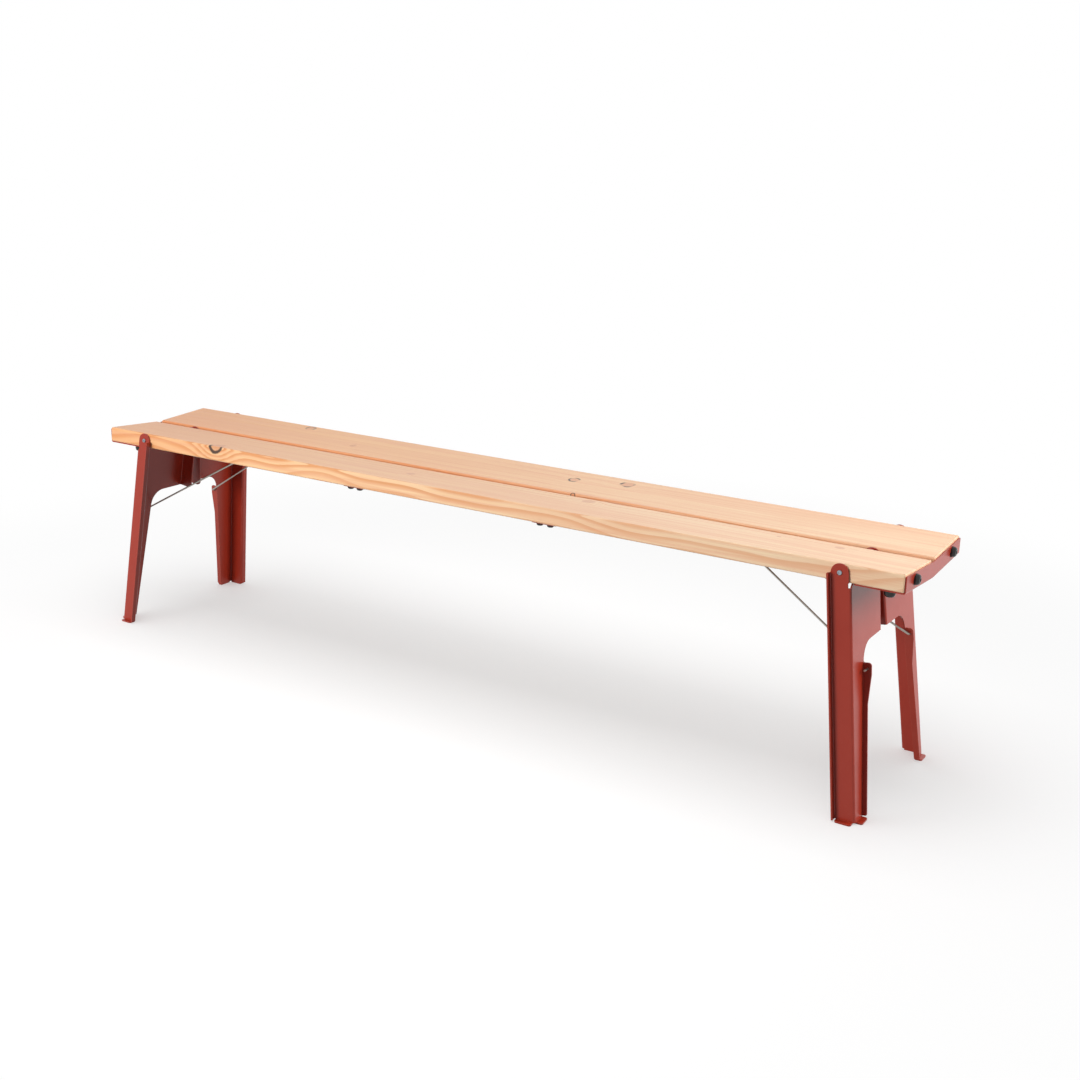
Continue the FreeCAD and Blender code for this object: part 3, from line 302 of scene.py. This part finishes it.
fall = maths(knot, "MULTIPLY", maths(knot, "MULTIPLY", turns, turns), SWELL_FALL)
knot.links.new(maths(knot, "POWER", math.e, fall), result.inputs["Swell"])
knot.links.new(ease(knot, turns, *CORE_FADE), result.inputs["Core"])
rim = maths(knot, "MULTIPLY", ease(knot, turns, *RIM_STARTS), ease(knot, turns, *RIM_ENDS))
patches = maths(knot, "ADD", noise(knot, given["Place"], BARK_PATCHES, detail=1), given["Bark"])
rim = maths(knot, "MULTIPLY", rim, ease(knot, patches, *BARK_BREAKS))
rim = maths(knot, "MULTIPLY", rim, ease(knot, lengthwise, *BARK_SHOWS))
knot.links.new(rim, result.inputs["Rim"])
print("knot:", len(knot.nodes), "nodes")

# %% [markdown]
# ## Fibre
# Between the rings, planed pine is still not smooth: it has hair-fine lengthwise lines, short
# dark dashes where resin canals are cut open, broader streaks, and soft clouds where the colour
# turns rosy. All four are noise pulled out along the bench, each by its own stretch.

# %% Build the fibre
HAIR_STRETCH = (9, 900, 900)
CANAL_STRETCH = (45, 1300, 1300)
CANALS_SHOW = (0.68, 0.78)
STREAK_STRETCH = (1.6, 130, 130)
CLOUD_STRETCH = (2.2, 14, 14)

fibre, given, result = open_group("fibre", {"Place": ORIGIN},
                                  ["Hair", "Canals", "Streaks", "Cloud"])
place = given["Place"]
hair = noise(fibre, place, 1, detail=3, rough=0.6, stretch=HAIR_STRETCH)
dashes = noise(fibre, place, 1, detail=1, stretch=CANAL_STRETCH)
streaks = noise(fibre, place, 1, detail=3, rough=0.65, stretch=STREAK_STRETCH)
cloud = noise(fibre, place, 1, stretch=CLOUD_STRETCH)
fibre.links.new(hair, result.inputs["Hair"])
fibre.links.new(ease(fibre, dashes, *CANALS_SHOW), result.inputs["Canals"])
fibre.links.new(streaks, result.inputs["Streaks"])
fibre.links.new(cloud, result.inputs["Cloud"])
print("fibre:", len(fibre.nodes), "nodes")

# %% [markdown]
# ## The two planks
# First the colours, from the pale spring wood to the nearly black bark. Toward the left end a
# share of the brown summer tone is laid on, and toward the right end a pale cream, partly a paler
# board and partly a painted sheen for the brighter light that the varnish catches there; both go
# by place along the bench, in metres from its middle, and the summer lines weaken the same way.
# The edges beside the gap get a deeper orange, a painted shade of the dim slot between the
# planks.

# %% Choose the colours of the wood
SPRING_WOOD = linear(255, 211, 160)
SUMMER_WOOD = linear(216, 128, 60)
ROSY_WOOD = linear(236, 176, 138)
PALE_WOOD_AND_SHEEN = linear(255, 236, 204)
GAP_SHADE_ORANGE = linear(222, 138, 84)
# Painted shade for the edges in the slot between the two planks.
KNOT_WOOD = linear(198, 122, 88)
KNOT_BARK = linear(44, 27, 16)

PALER_AND_SHEEN_TO_THE_RIGHT = (-0.7, 0.7, 0, 0.75)
LINES_ALONG = (-0.2, 0.9, 0.95, 0.55)
DARKER_LEFT_END = (-1.0, -0.4, 0.35, 0)
ROSY_CLOUDS = (0.4, 0.75, 0, 0.35)
ROSY_STREAKS = (0.42, 0.72, 0, 0.55)
GAP_SHADE_BAND = (0.0095, 0.0145, 0.6, 0)
GAP_SHADE_ALONG = (-0.2, 0.6, 1, 0.5)
HAIR_SHARE = 0.28
CANAL_SHARE = 0.35
CORE_SHARE = 0.4
BARK_SHARE = 0.95
print("spring wood as light:", [round(v, 3) for v in SPRING_WOOD])

# %% [markdown]
# No two boards match, so each plank has its own heart line, ring width and knots. Each heart
# lies below the seat, just across the gap from its plank: rings then cut the top at a steep
# angle, as fine straight lines, and the outer edge at a flat one, as wide waves. The knots'
# places are read off the picture: a bold one sits on the front arris near the left end,
# three faint ones in the front plank's top, three in the back plank's top and a small one
# beside the gap. The one under each plank is a guess, for whoever turns the bench over.

# %% Place the hearts and knots
# Only the last two numbers of a heart place it; all three together start its own wander.
FRONT_HEART = (0.0, 0.030, 0.385)
FRONT_RING_WIDTH = 0.0058
FRONT_WANDER = 0.045
BACK_HEART = (3.7, -0.040, 0.400)
BACK_RING_WIDTH = 0.0042
BACK_WANDER = 0.030

# Each knot: centre, direction of the branch, radius, and how whole its bark is.
FRONT_KNOTS = [
    ((-0.652, -0.157, 0.487), (-0.10, -1.0, -0.25), 0.022, 0.80),
    ((0.285, -0.034, 0.472), (0.35, 0.10, 0.93), 0.015, 0.05),
    ((0.712, -0.040, 0.472), (0.0, 0.2, 0.98), 0.005, 0.30),
    ((0.835, -0.042, 0.472), (0.3, -0.1, 0.95), 0.010, 0.02),
    ((-0.140, -0.060, 0.440), (0.1, 0.4, -0.9), 0.013, 0.30),
]
BACK_KNOTS = [
    ((-0.615, 0.136, 0.478), (0.1, 0.35, 0.93), 0.013, 0.42),
    ((0.174, 0.093, 0.476), (0.1, 0.1, 0.98), 0.013, 0.42),
    ((0.292, 0.120, 0.478), (-0.2, 0.1, 0.97), 0.017, 0.36),
    ((0.222, 0.006, 0.468), (0.1, -0.5, 0.85), 0.006, 0.90),
    ((-0.420, 0.070, 0.440), (0.1, 0.1, -0.98), 0.012, 0.30),
]
print(len(FRONT_KNOTS), "knots in front,", len(BACK_KNOTS), "behind")

# %% [markdown]
# The colour is built as a painter would build it: the pale ground first, then one layer after
# another, each a share of a colour laid over what is there. The bark of the knots comes last,
# as nothing in the wood covers it.

# %% Mix the colour of pine
def mix_pine(tree, place, late_wood, threads, core, rim):
    """The colour of pine at a place, from its rings, fibre and knots, with painted sheen and
    shade.
    """
    along, across = add_node(tree, "ShaderNodeSeparateXYZ", {"Vector": place}).outputs[:2]
    beside = ease(tree, maths(tree, "ABSOLUTE", across), *GAP_SHADE_BAND)
    layers = [
        (maths(tree, "MULTIPLY", late_wood, ease(tree, along, *LINES_ALONG)), SUMMER_WOOD),
        (ease(tree, threads["Cloud"], *ROSY_CLOUDS), ROSY_WOOD),
        (ease(tree, along, *DARKER_LEFT_END), SUMMER_WOOD),
        (ease(tree, threads["Streaks"], *ROSY_STREAKS), ROSY_WOOD),
        (maths(tree, "MULTIPLY", threads["Hair"], HAIR_SHARE), SUMMER_WOOD),
        (maths(tree, "MULTIPLY", threads["Canals"], CANAL_SHARE), KNOT_WOOD),
        (maths(tree, "MULTIPLY", core, CORE_SHARE), KNOT_WOOD),
        # Painted shade: a deeper orange on the edges that face the gap.
        (maths(tree, "MULTIPLY", beside, ease(tree, along, *GAP_SHADE_ALONG)), GAP_SHADE_ORANGE),
        (maths(tree, "MULTIPLY", rim, BARK_SHARE), KNOT_BARK),
    ]
    # Painted sheen: a pale cream toward the right end, partly a paler board, partly the brighter
    # light the varnish catches there.
    colour = blend_colours(tree, ease(tree, along, *PALER_AND_SHEEN_TO_THE_RIGHT), SPRING_WOOD, PALE_WOOD_AND_SHEEN)
    for share, laid_over in layers:
        colour = blend_colours(tree, share, colour, laid_over)
    return colour


print("the gap's orange ends", round(GAP_SHADE_BAND[1] * 1000, 1), "mm from the middle line")

# %% [markdown]
# The varnish is a thin clear coat. Seen at a low angle it mirrors the white room, which is why
# the top looks so much paler than the edges, so we give the wood the colour of its edges and
# let the coat do the rest. Hair lines and late wood stand up by a few hundredths of a
# millimetre, and the bark lies lower.

# %% Write what paints a plank
SWELL_REACH = 0.9
WOOD_ROUGHNESS = 0.42
HAIR_ROUGHNESS = 0.16
HAIR_LIFT = 0.5
BARK_DIP = 2.5
GRAIN_STRENGTH = 0.35
GRAIN_HEIGHT = 0.0002
VARNISH_WEIGHT = 0.35
VARNISH_ROUGHNESS = 0.3


def paint_pine(name, heart, ring_width, wander, knots):
    """Varnished pine, with rings round a heart line and the given knots."""
    material, tree, shader, place = open_material(name)
    swell, core, rim = 0, 0, 0
    for centre, branch, radius, bark in knots:
        found = use_group(tree, knot, {
            "Place": place, "Centre": centre, "Branch": Vector(branch).normalized(),
            "Radius": radius, "Bark": bark})
        pushed = maths(tree, "MULTIPLY", found["Swell"], radius * SWELL_REACH)
        swell = maths(tree, "ADD", swell, pushed)
        core = maths(tree, "MAXIMUM", core, found["Core"])
        rim = maths(tree, "MAXIMUM", rim, found["Rim"])
    grown = use_group(tree, rings, {"Place": place, "Heart": heart, "Ring Width": ring_width,
                                    "Wander": wander, "Swell": swell})
    threads = use_group(tree, fibre, {"Place": place})
    colour = mix_pine(tree, place, grown["Late Wood"], threads, core, rim)
    hair = threads["Hair"]
    rough = maths(tree, "ADD", WOOD_ROUGHNESS, maths(tree, "MULTIPLY", hair, HAIR_ROUGHNESS))
    height = maths(tree, "ADD", maths(tree, "MULTIPLY", hair, HAIR_LIFT), grown["Late Wood"])
    height = maths(tree, "SUBTRACT", height, maths(tree, "MULTIPLY", rim, BARK_DIP))
    bump = add_node(tree, "ShaderNodeBump", {"Height": height, "Strength": GRAIN_STRENGTH,
                                             "Distance": GRAIN_HEIGHT})
    tree.links.new(colour, shader.inputs["Base Color"])
    tree.links.new(rough, shader.inputs["Roughness"])
    tree.links.new(bump.outputs["Normal"], shader.inputs["Normal"])
    shader.inputs["Coat Weight"].default_value = VARNISH_WEIGHT
    shader.inputs["Coat Roughness"].default_value = VARNISH_ROUGHNESS
    return material


front_pine = paint_pine("pine_front", FRONT_HEART, FRONT_RING_WIDTH, FRONT_WANDER, FRONT_KNOTS)
back_pine = paint_pine("pine_back", BACK_HEART, BACK_RING_WIDTH, BACK_WANDER, BACK_KNOTS)
print("pine:", len(front_pine.node_tree.nodes), "and", len(back_pine.node_tree.nodes), "nodes")

# %% [markdown]
# ## Worn edges
# Paint and plating are thinner along the edges of a piece, where hands and the floor rub. We
# could paint that by hand on every piece, but a mask that finds edges by itself works for all:
# it compares the true surface with a slightly rounded one. Where they disagree, there is an
# edge. Noise makes the wear patchy.

# %% Build the worn edges
WEAR_PATCHES = 120
WEAR_EVERYWHERE = 0.3
WEAR_SHOWS = (0.02, 0.16)
ROUNDING_SAMPLES = 4

edges, given, result = open_group("edge_wear",
                                  {"Place": ORIGIN, "Width": 0.001, "Amount": 0.5}, ["Wear"])
rounded = add_node(edges, "ShaderNodeBevel", {"Radius": given["Width"]},
                   samples=ROUNDING_SAMPLES).outputs["Normal"]
true = add_node(edges, "ShaderNodeNewGeometry").outputs["Normal"]
apart = maths(edges, "SUBTRACT", 1, vector_maths(edges, "DOT_PRODUCT", rounded, true))
patchy = noise(edges, given["Place"], WEAR_PATCHES, detail=3, rough=0.6)
patchy = maths(edges, "ADD", patchy, WEAR_EVERYWHERE)
worn = ease(edges, maths(edges, "MULTIPLY", apart, patchy), *WEAR_SHOWS)
edges.links.new(maths(edges, "MULTIPLY", worn, given["Amount"]), result.inputs["Wear"])
print("edge wear:", len(edges.nodes), "nodes")

# %% [markdown]
# ## Powder-coated steel
# The legs, brackets, tie plates and catches are 3 mm sheet, sprayed with oxide-red powder and
# baked. The coat has a fine orange-peel skin, a slight mottle and a little dust. A normal map
# would need an unwrapped mesh; noise in three dimensions doesn't, and it keeps its scale on
# every piece.

# %% Build the skin of the powder
SKIN_GRAIN = 900.0
MOTTLE_GRAIN = 14
DUST_GRAIN = 55
DUST_SHOWS = (0.55, 0.8)

skin, given, result = open_group("powder_skin", {"Place": ORIGIN, "Grain": SKIN_GRAIN},
                                 ["Peel", "Mottle", "Dust"])
peel = add_node(skin, "ShaderNodeTexNoise",
                {"Vector": given["Place"], "Scale": given["Grain"], "Detail": 2.0})
mottle = noise(skin, given["Place"], MOTTLE_GRAIN, detail=3, rough=0.6)
dust = noise(skin, given["Place"], DUST_GRAIN, detail=4, rough=0.7)
skin.links.new(peel.outputs["Fac"], result.inputs["Peel"])
skin.links.new(mottle, result.inputs["Mottle"])
skin.links.new(ease(skin, dust, *DUST_SHOWS), result.inputs["Dust"])
print("powder skin:", len(skin.nodes), "nodes")

# %% [markdown]
# The red is a shade deeper here and there, and a touch paler along the cut edges, where the
# powder lies thinner. Its satin shine comes from two layers. The paint itself reflects a little
# at every angle. The clear coat over it has a low index of refraction, so it hardly shows from
# the front and turns whitish where one looks along the sheet.

# %% Paint the steel
RED = linear(164, 50, 29)
RED_DEEP = linear(150, 41, 23)
RED_THIN = linear(196, 104, 84)
DUSTY_RED = linear(176, 84, 68)
DUST_SHARE = 0.10
STEEL_EDGE_WIDTH = 0.0009
STEEL_EDGE_WEAR = 0.6
POWDER_ROUGHNESS = 0.30
MOTTLE_ROUGHNESS = 0.12
DUST_ROUGHNESS = 0.05
PEEL_STRENGTH = 0.25
PEEL_HEIGHT = 0.0001

red_steel, tree, shader, place = open_material("red_powder_coat")
coat = use_group(tree, skin, {"Place": place, "Grain": SKIN_GRAIN})
wear = use_group(tree, edges, {"Place": place, "Width": STEEL_EDGE_WIDTH,
                               "Amount": STEEL_EDGE_WEAR})["Wear"]
colour = blend_colours(tree, coat["Mottle"], RED, RED_DEEP)
colour = blend_colours(tree, maths(tree, "MULTIPLY", coat["Dust"], DUST_SHARE), colour, DUSTY_RED)
colour = blend_colours(tree, wear, colour, RED_THIN)
rough = maths(tree, "ADD", POWDER_ROUGHNESS,
              maths(tree, "MULTIPLY", coat["Mottle"], MOTTLE_ROUGHNESS))
rough = maths(tree, "ADD", rough, maths(tree, "MULTIPLY", coat["Dust"], DUST_ROUGHNESS))
bump = add_node(tree, "ShaderNodeBump", {"Height": coat["Peel"], "Strength": PEEL_STRENGTH,
                                         "Distance": PEEL_HEIGHT})
tree.links.new(colour, shader.inputs["Base Color"])
tree.links.new(rough, shader.inputs["Roughness"])
tree.links.new(bump.outputs["Normal"], shader.inputs["Normal"])
shader.inputs["Specular IOR Level"].default_value = 0.4
shader.inputs["Coat Weight"].default_value = 0.6
shader.inputs["Coat IOR"].default_value = 1.2
shader.inputs["Coat Roughness"].default_value = 0.22
print("red steel:", len(tree.nodes), "nodes")

# %% [markdown]
# ## Bolts, screws and wire
# The small parts are bare or plated metal. Metal has no colour of its own under the shine: its
# colour tints the reflection, so Metallic goes to 1 and the roughness carries the detail. The
# black screws are the exception, as their oily oxide is nearly a black paint with worn,
# brighter edges. One function makes all four, because only colours, shine and grain differ.

# %% Write what paints a metal
METAL_EDGE_WIDTH = 0.0006
MARKS_SHARE = 0.25
MARKS_ROUGHNESS = 0.2
MARKS_SMOOTHEST = 0.08
MARKS_STRENGTH = 0.15
MARKS_HEIGHT = 0.00005


def paint_metal(name, main, worn_colour, metallic, roughness, stretch, amount):
    """Plated or bare metal with drawn or tumbled marks and brighter edges."""
    material, tree, shader, place = open_material(name)
    marks = noise(tree, place, 1, detail=3, rough=0.6, stretch=stretch)
    wear = use_group(tree, edges, {"Place": place, "Width": METAL_EDGE_WIDTH,
                                   "Amount": amount})["Wear"]
    shade = blend_colours(tree, maths(tree, "MULTIPLY", marks, MARKS_SHARE), main, worn_colour)
    shade = blend_colours(tree, wear, shade, worn_colour)
    rough = maths(tree, "ADD", roughness - MARKS_SMOOTHEST,
                  maths(tree, "MULTIPLY", marks, MARKS_ROUGHNESS))
    bump = add_node(tree, "ShaderNodeBump", {"Height": marks, "Strength": MARKS_STRENGTH,
                                             "Distance": MARKS_HEIGHT})
    tree.links.new(shade, shader.inputs["Base Color"])
    tree.links.new(rough, shader.inputs["Roughness"])
    tree.links.new(bump.outputs["Normal"], shader.inputs["Normal"])
    shader.inputs["Metallic"].default_value = metallic
    return material


print("metal edges are", round(METAL_EDGE_WIDTH * 1000, 1), "mm wide")

# %% [markdown]
# Tumbled parts have marks in no direction, and wire has them along its length, from being
# drawn through a die. The wire is duller than new stainless steel, so that it stands out from
# the white room that it mirrors.

# %% Paint the metals
TUMBLED_BLACK = (700, 700, 700)
TUMBLED = (800, 800, 800)
DRAWN = (60, 1200, 1200)

black_bolt = paint_metal("black_bolt", linear(9, 9, 10), linear(46, 44, 43),
                         0.1, 0.22, TUMBLED_BLACK, 0.3)
zinc = paint_metal("bright_zinc", linear(150, 158, 166), linear(196, 202, 206),
                   1, 0.30, TUMBLED, 0.4)
stainless = paint_metal("drawn_wire", linear(158, 152, 144), linear(200, 196, 190),
                        1, 0.34, DRAWN, 0.3)
brass = paint_metal("brass", linear(190, 150, 84), linear(222, 190, 120),
                    1, 0.34, TUMBLED, 0.4)
print("metals:", [metal.name for metal in (black_bolt, zinc, stainless, brass)])

# %% [markdown]
# ## Dressing the nodes
# Each node's name says what it is, so its finish follows from the name. The solids keep their
# meshes; only the material in their slot changes. The first word of the list that is found in
# a name decides, so catch_screws comes before catch.

# %% Give each node its finish
FINISHES = [
    ("front_plank", front_pine), ("back_plank", back_pine),
    ("pivot_screws", zinc), ("pivot_inserts", brass), ("catch_screws", zinc),
    ("bolts", black_bolt), ("washers", black_bolt), ("stay", stainless),
    ("leg", red_steel), ("bracket", red_steel), ("tie_plate", red_steel), ("catch", red_steel),
]
for name, piece in nodes.items():
    finish = next(material for part, material in FINISHES if part in name)
    piece.data.materials.clear()
    piece.data.materials.append(finish)
print({finish.name: finish.users for part, finish in FINISHES})

# %% [markdown]
# ## The floor
# The picture has no visible room: a pale floor runs into a white backdrop, and only a soft
# shadow shows where the bench stands. One large sheet a hair below the feet does for both.

# %% Lay the floor
FLOOR_HALF = 30
FLOOR_DROP = 0.0003

floor_mesh = bpy.data.meshes.new("floor")
corners = [(-FLOOR_HALF, -FLOOR_HALF, 0), (FLOOR_HALF, -FLOOR_HALF, 0),
           (FLOOR_HALF, FLOOR_HALF, 0), (-FLOOR_HALF, FLOOR_HALF, 0)]
floor_mesh.from_pydata(corners, [], [(0, 1, 2, 3)])
floor = bpy.data.objects.new("floor", floor_mesh)
floor.location.z = cad_box[0].z - FLOOR_DROP
bpy.context.scene.collection.objects.link(floor)
print("floor at", round(floor.location.z, 4))

# %% [markdown]
# A huge white floor would light the steel from below and wash out the dark insides of the legs.
# So the floor is white to the camera and to mirrors, and grey to the light that bounces off it,
# which the Light Path node can tell apart. What is seen is about half white paper under the
# bench, so that it takes a pale shadow, and fades into the evenly white backdrop further out.

# %% Paint the floor
DULL_GREY = (0.32, 0.32, 0.32, 1)
WHITE = (1, 1, 1, 1)
FADE_TO_BACKDROP = (0.9, 2.2, 0.47, 1)


def seen_directly(tree):
    """1 for rays from the camera or from a mirror or glass, 0 for light that only bounces."""
    path = add_node(tree, "ShaderNodeLightPath").outputs
    seen = maths(tree, "MAXIMUM", path["Is Camera Ray"], path["Is Glossy Ray"])
    return maths(tree, "MAXIMUM", seen, path["Is Transmission Ray"])


paper, tree, shader, place = open_material("studio_floor")
tree.nodes.remove(shader)
white = add_node(tree, "ShaderNodeBsdfDiffuse", {"Color": WHITE})
dull = add_node(tree, "ShaderNodeBsdfDiffuse", {"Color": DULL_GREY})
backdrop = add_node(tree, "ShaderNodeEmission", {"Color": WHITE, "Strength": 1})
away = ease(tree, vector_maths(tree, "LENGTH", place), *FADE_TO_BACKDROP)
shown = add_node(tree, "ShaderNodeMixShader", {"Fac": away})
tree.links.new(white.outputs["BSDF"], shown.inputs[1])
tree.links.new(backdrop.outputs["Emission"], shown.inputs[2])
sheet = add_node(tree, "ShaderNodeMixShader", {"Fac": seen_directly(tree)})
tree.links.new(dull.outputs["BSDF"], sheet.inputs[1])
tree.links.new(shown.outputs["Shader"], sheet.inputs[2])
tree.links.new(sheet.outputs["Shader"], tree.nodes["Material Output"].inputs["Surface"])
floor_mesh.materials.append(paper)
print("studio floor:", len(tree.nodes), "nodes")

# %% [markdown]
# ## The room
# The room is white where it is seen or mirrored. As a light it is weaker, and weakest toward
# the front right, the side that the picture was taken from, so that the red steel facing us
# stays deep. A dot product with one direction is all that such a slope needs.

# %% Fill the room
TO_FRONT_RIGHT = (0.7071, -0.7071, 0)
ROOM_FADE = (-0.4, 0.6, 0.50, 0.04)

world = bpy.data.worlds.new("white_room")
world.use_nodes = True
tree = world.node_tree
sky = tree.nodes["Background"]
sky.inputs["Color"].default_value = WHITE
looking = add_node(tree, "ShaderNodeTexCoord").outputs["Generated"]
room = ease(tree, vector_maths(tree, "DOT_PRODUCT", looking, TO_FRONT_RIGHT), *ROOM_FADE)
seen = seen_directly(tree)
shaded = maths(tree, "MULTIPLY", room, maths(tree, "SUBTRACT", 1, seen))
tree.links.new(maths(tree, "ADD", shaded, seen), sky.inputs["Strength"])
bpy.context.scene.world = world
print("white room:", len(tree.nodes), "nodes")

# %% [markdown]
# ## The lamps
# Two large soft lamps do most of the work: one in front of the left end lights the front edges,
# and one to the right and a little behind lights the faces at that end. A weak one hangs above.
# From the sides they would throw crossed shadows, so light linking keeps all three off the
# floor, which has a lamp of its own, above and a little in front. It gives the wide soft shadow
# under the seat. The lamps stay out of mirrors, as their image would burn the varnish white
# when it is seen from behind, and they are just strong enough for a colour to render about as
# it is written.

# %% Hang the lamps
bench_only = bpy.data.collections.new("lit_bench")
for piece in nodes.values():
    bench_only.objects.link(piece)
floor_only = bpy.data.collections.new("lit_floor")
floor_only.objects.link(floor)

# Each lamp: name, place, target, size, watts, and what it lights.
LAMPS = [
    ("right_lamp", (3.2, 1.0, 1.8), (0.8, 0, 0.3), 1.8, 106, bench_only),
    ("left_lamp", (-1.6, -3.8, 1.8), (-0.3, 0, 0.3), 2.2, 168, bench_only),
    ("top_lamp", (-0.2, 0.1, 3.4), (0, 0, 0.3), 3.0, 7, bench_only),
    ("floor_lamp", (0, -0.6, 3.4), (0, 0, 0), 3.6, 125, floor_only),
]
for name, place, target, size, watts, lit in LAMPS:
    lamp = bpy.data.lights.new(name, "AREA")
    lamp.shape = "SQUARE"
    lamp.size = size
    lamp.energy = watts
    holder = bpy.data.objects.new(name, lamp)
    holder.visible_camera = False
    holder.visible_glossy = False
    holder.location = place
    holder.rotation_mode = "QUATERNION"
    holder.rotation_quaternion = (Vector(target) - Vector(place)).to_track_quat("-Z", "Y")
    holder.light_linking.receiver_collection = lit
    bpy.context.scene.collection.objects.link(holder)
print("lamps:", [lamp[0] for lamp in LAMPS])
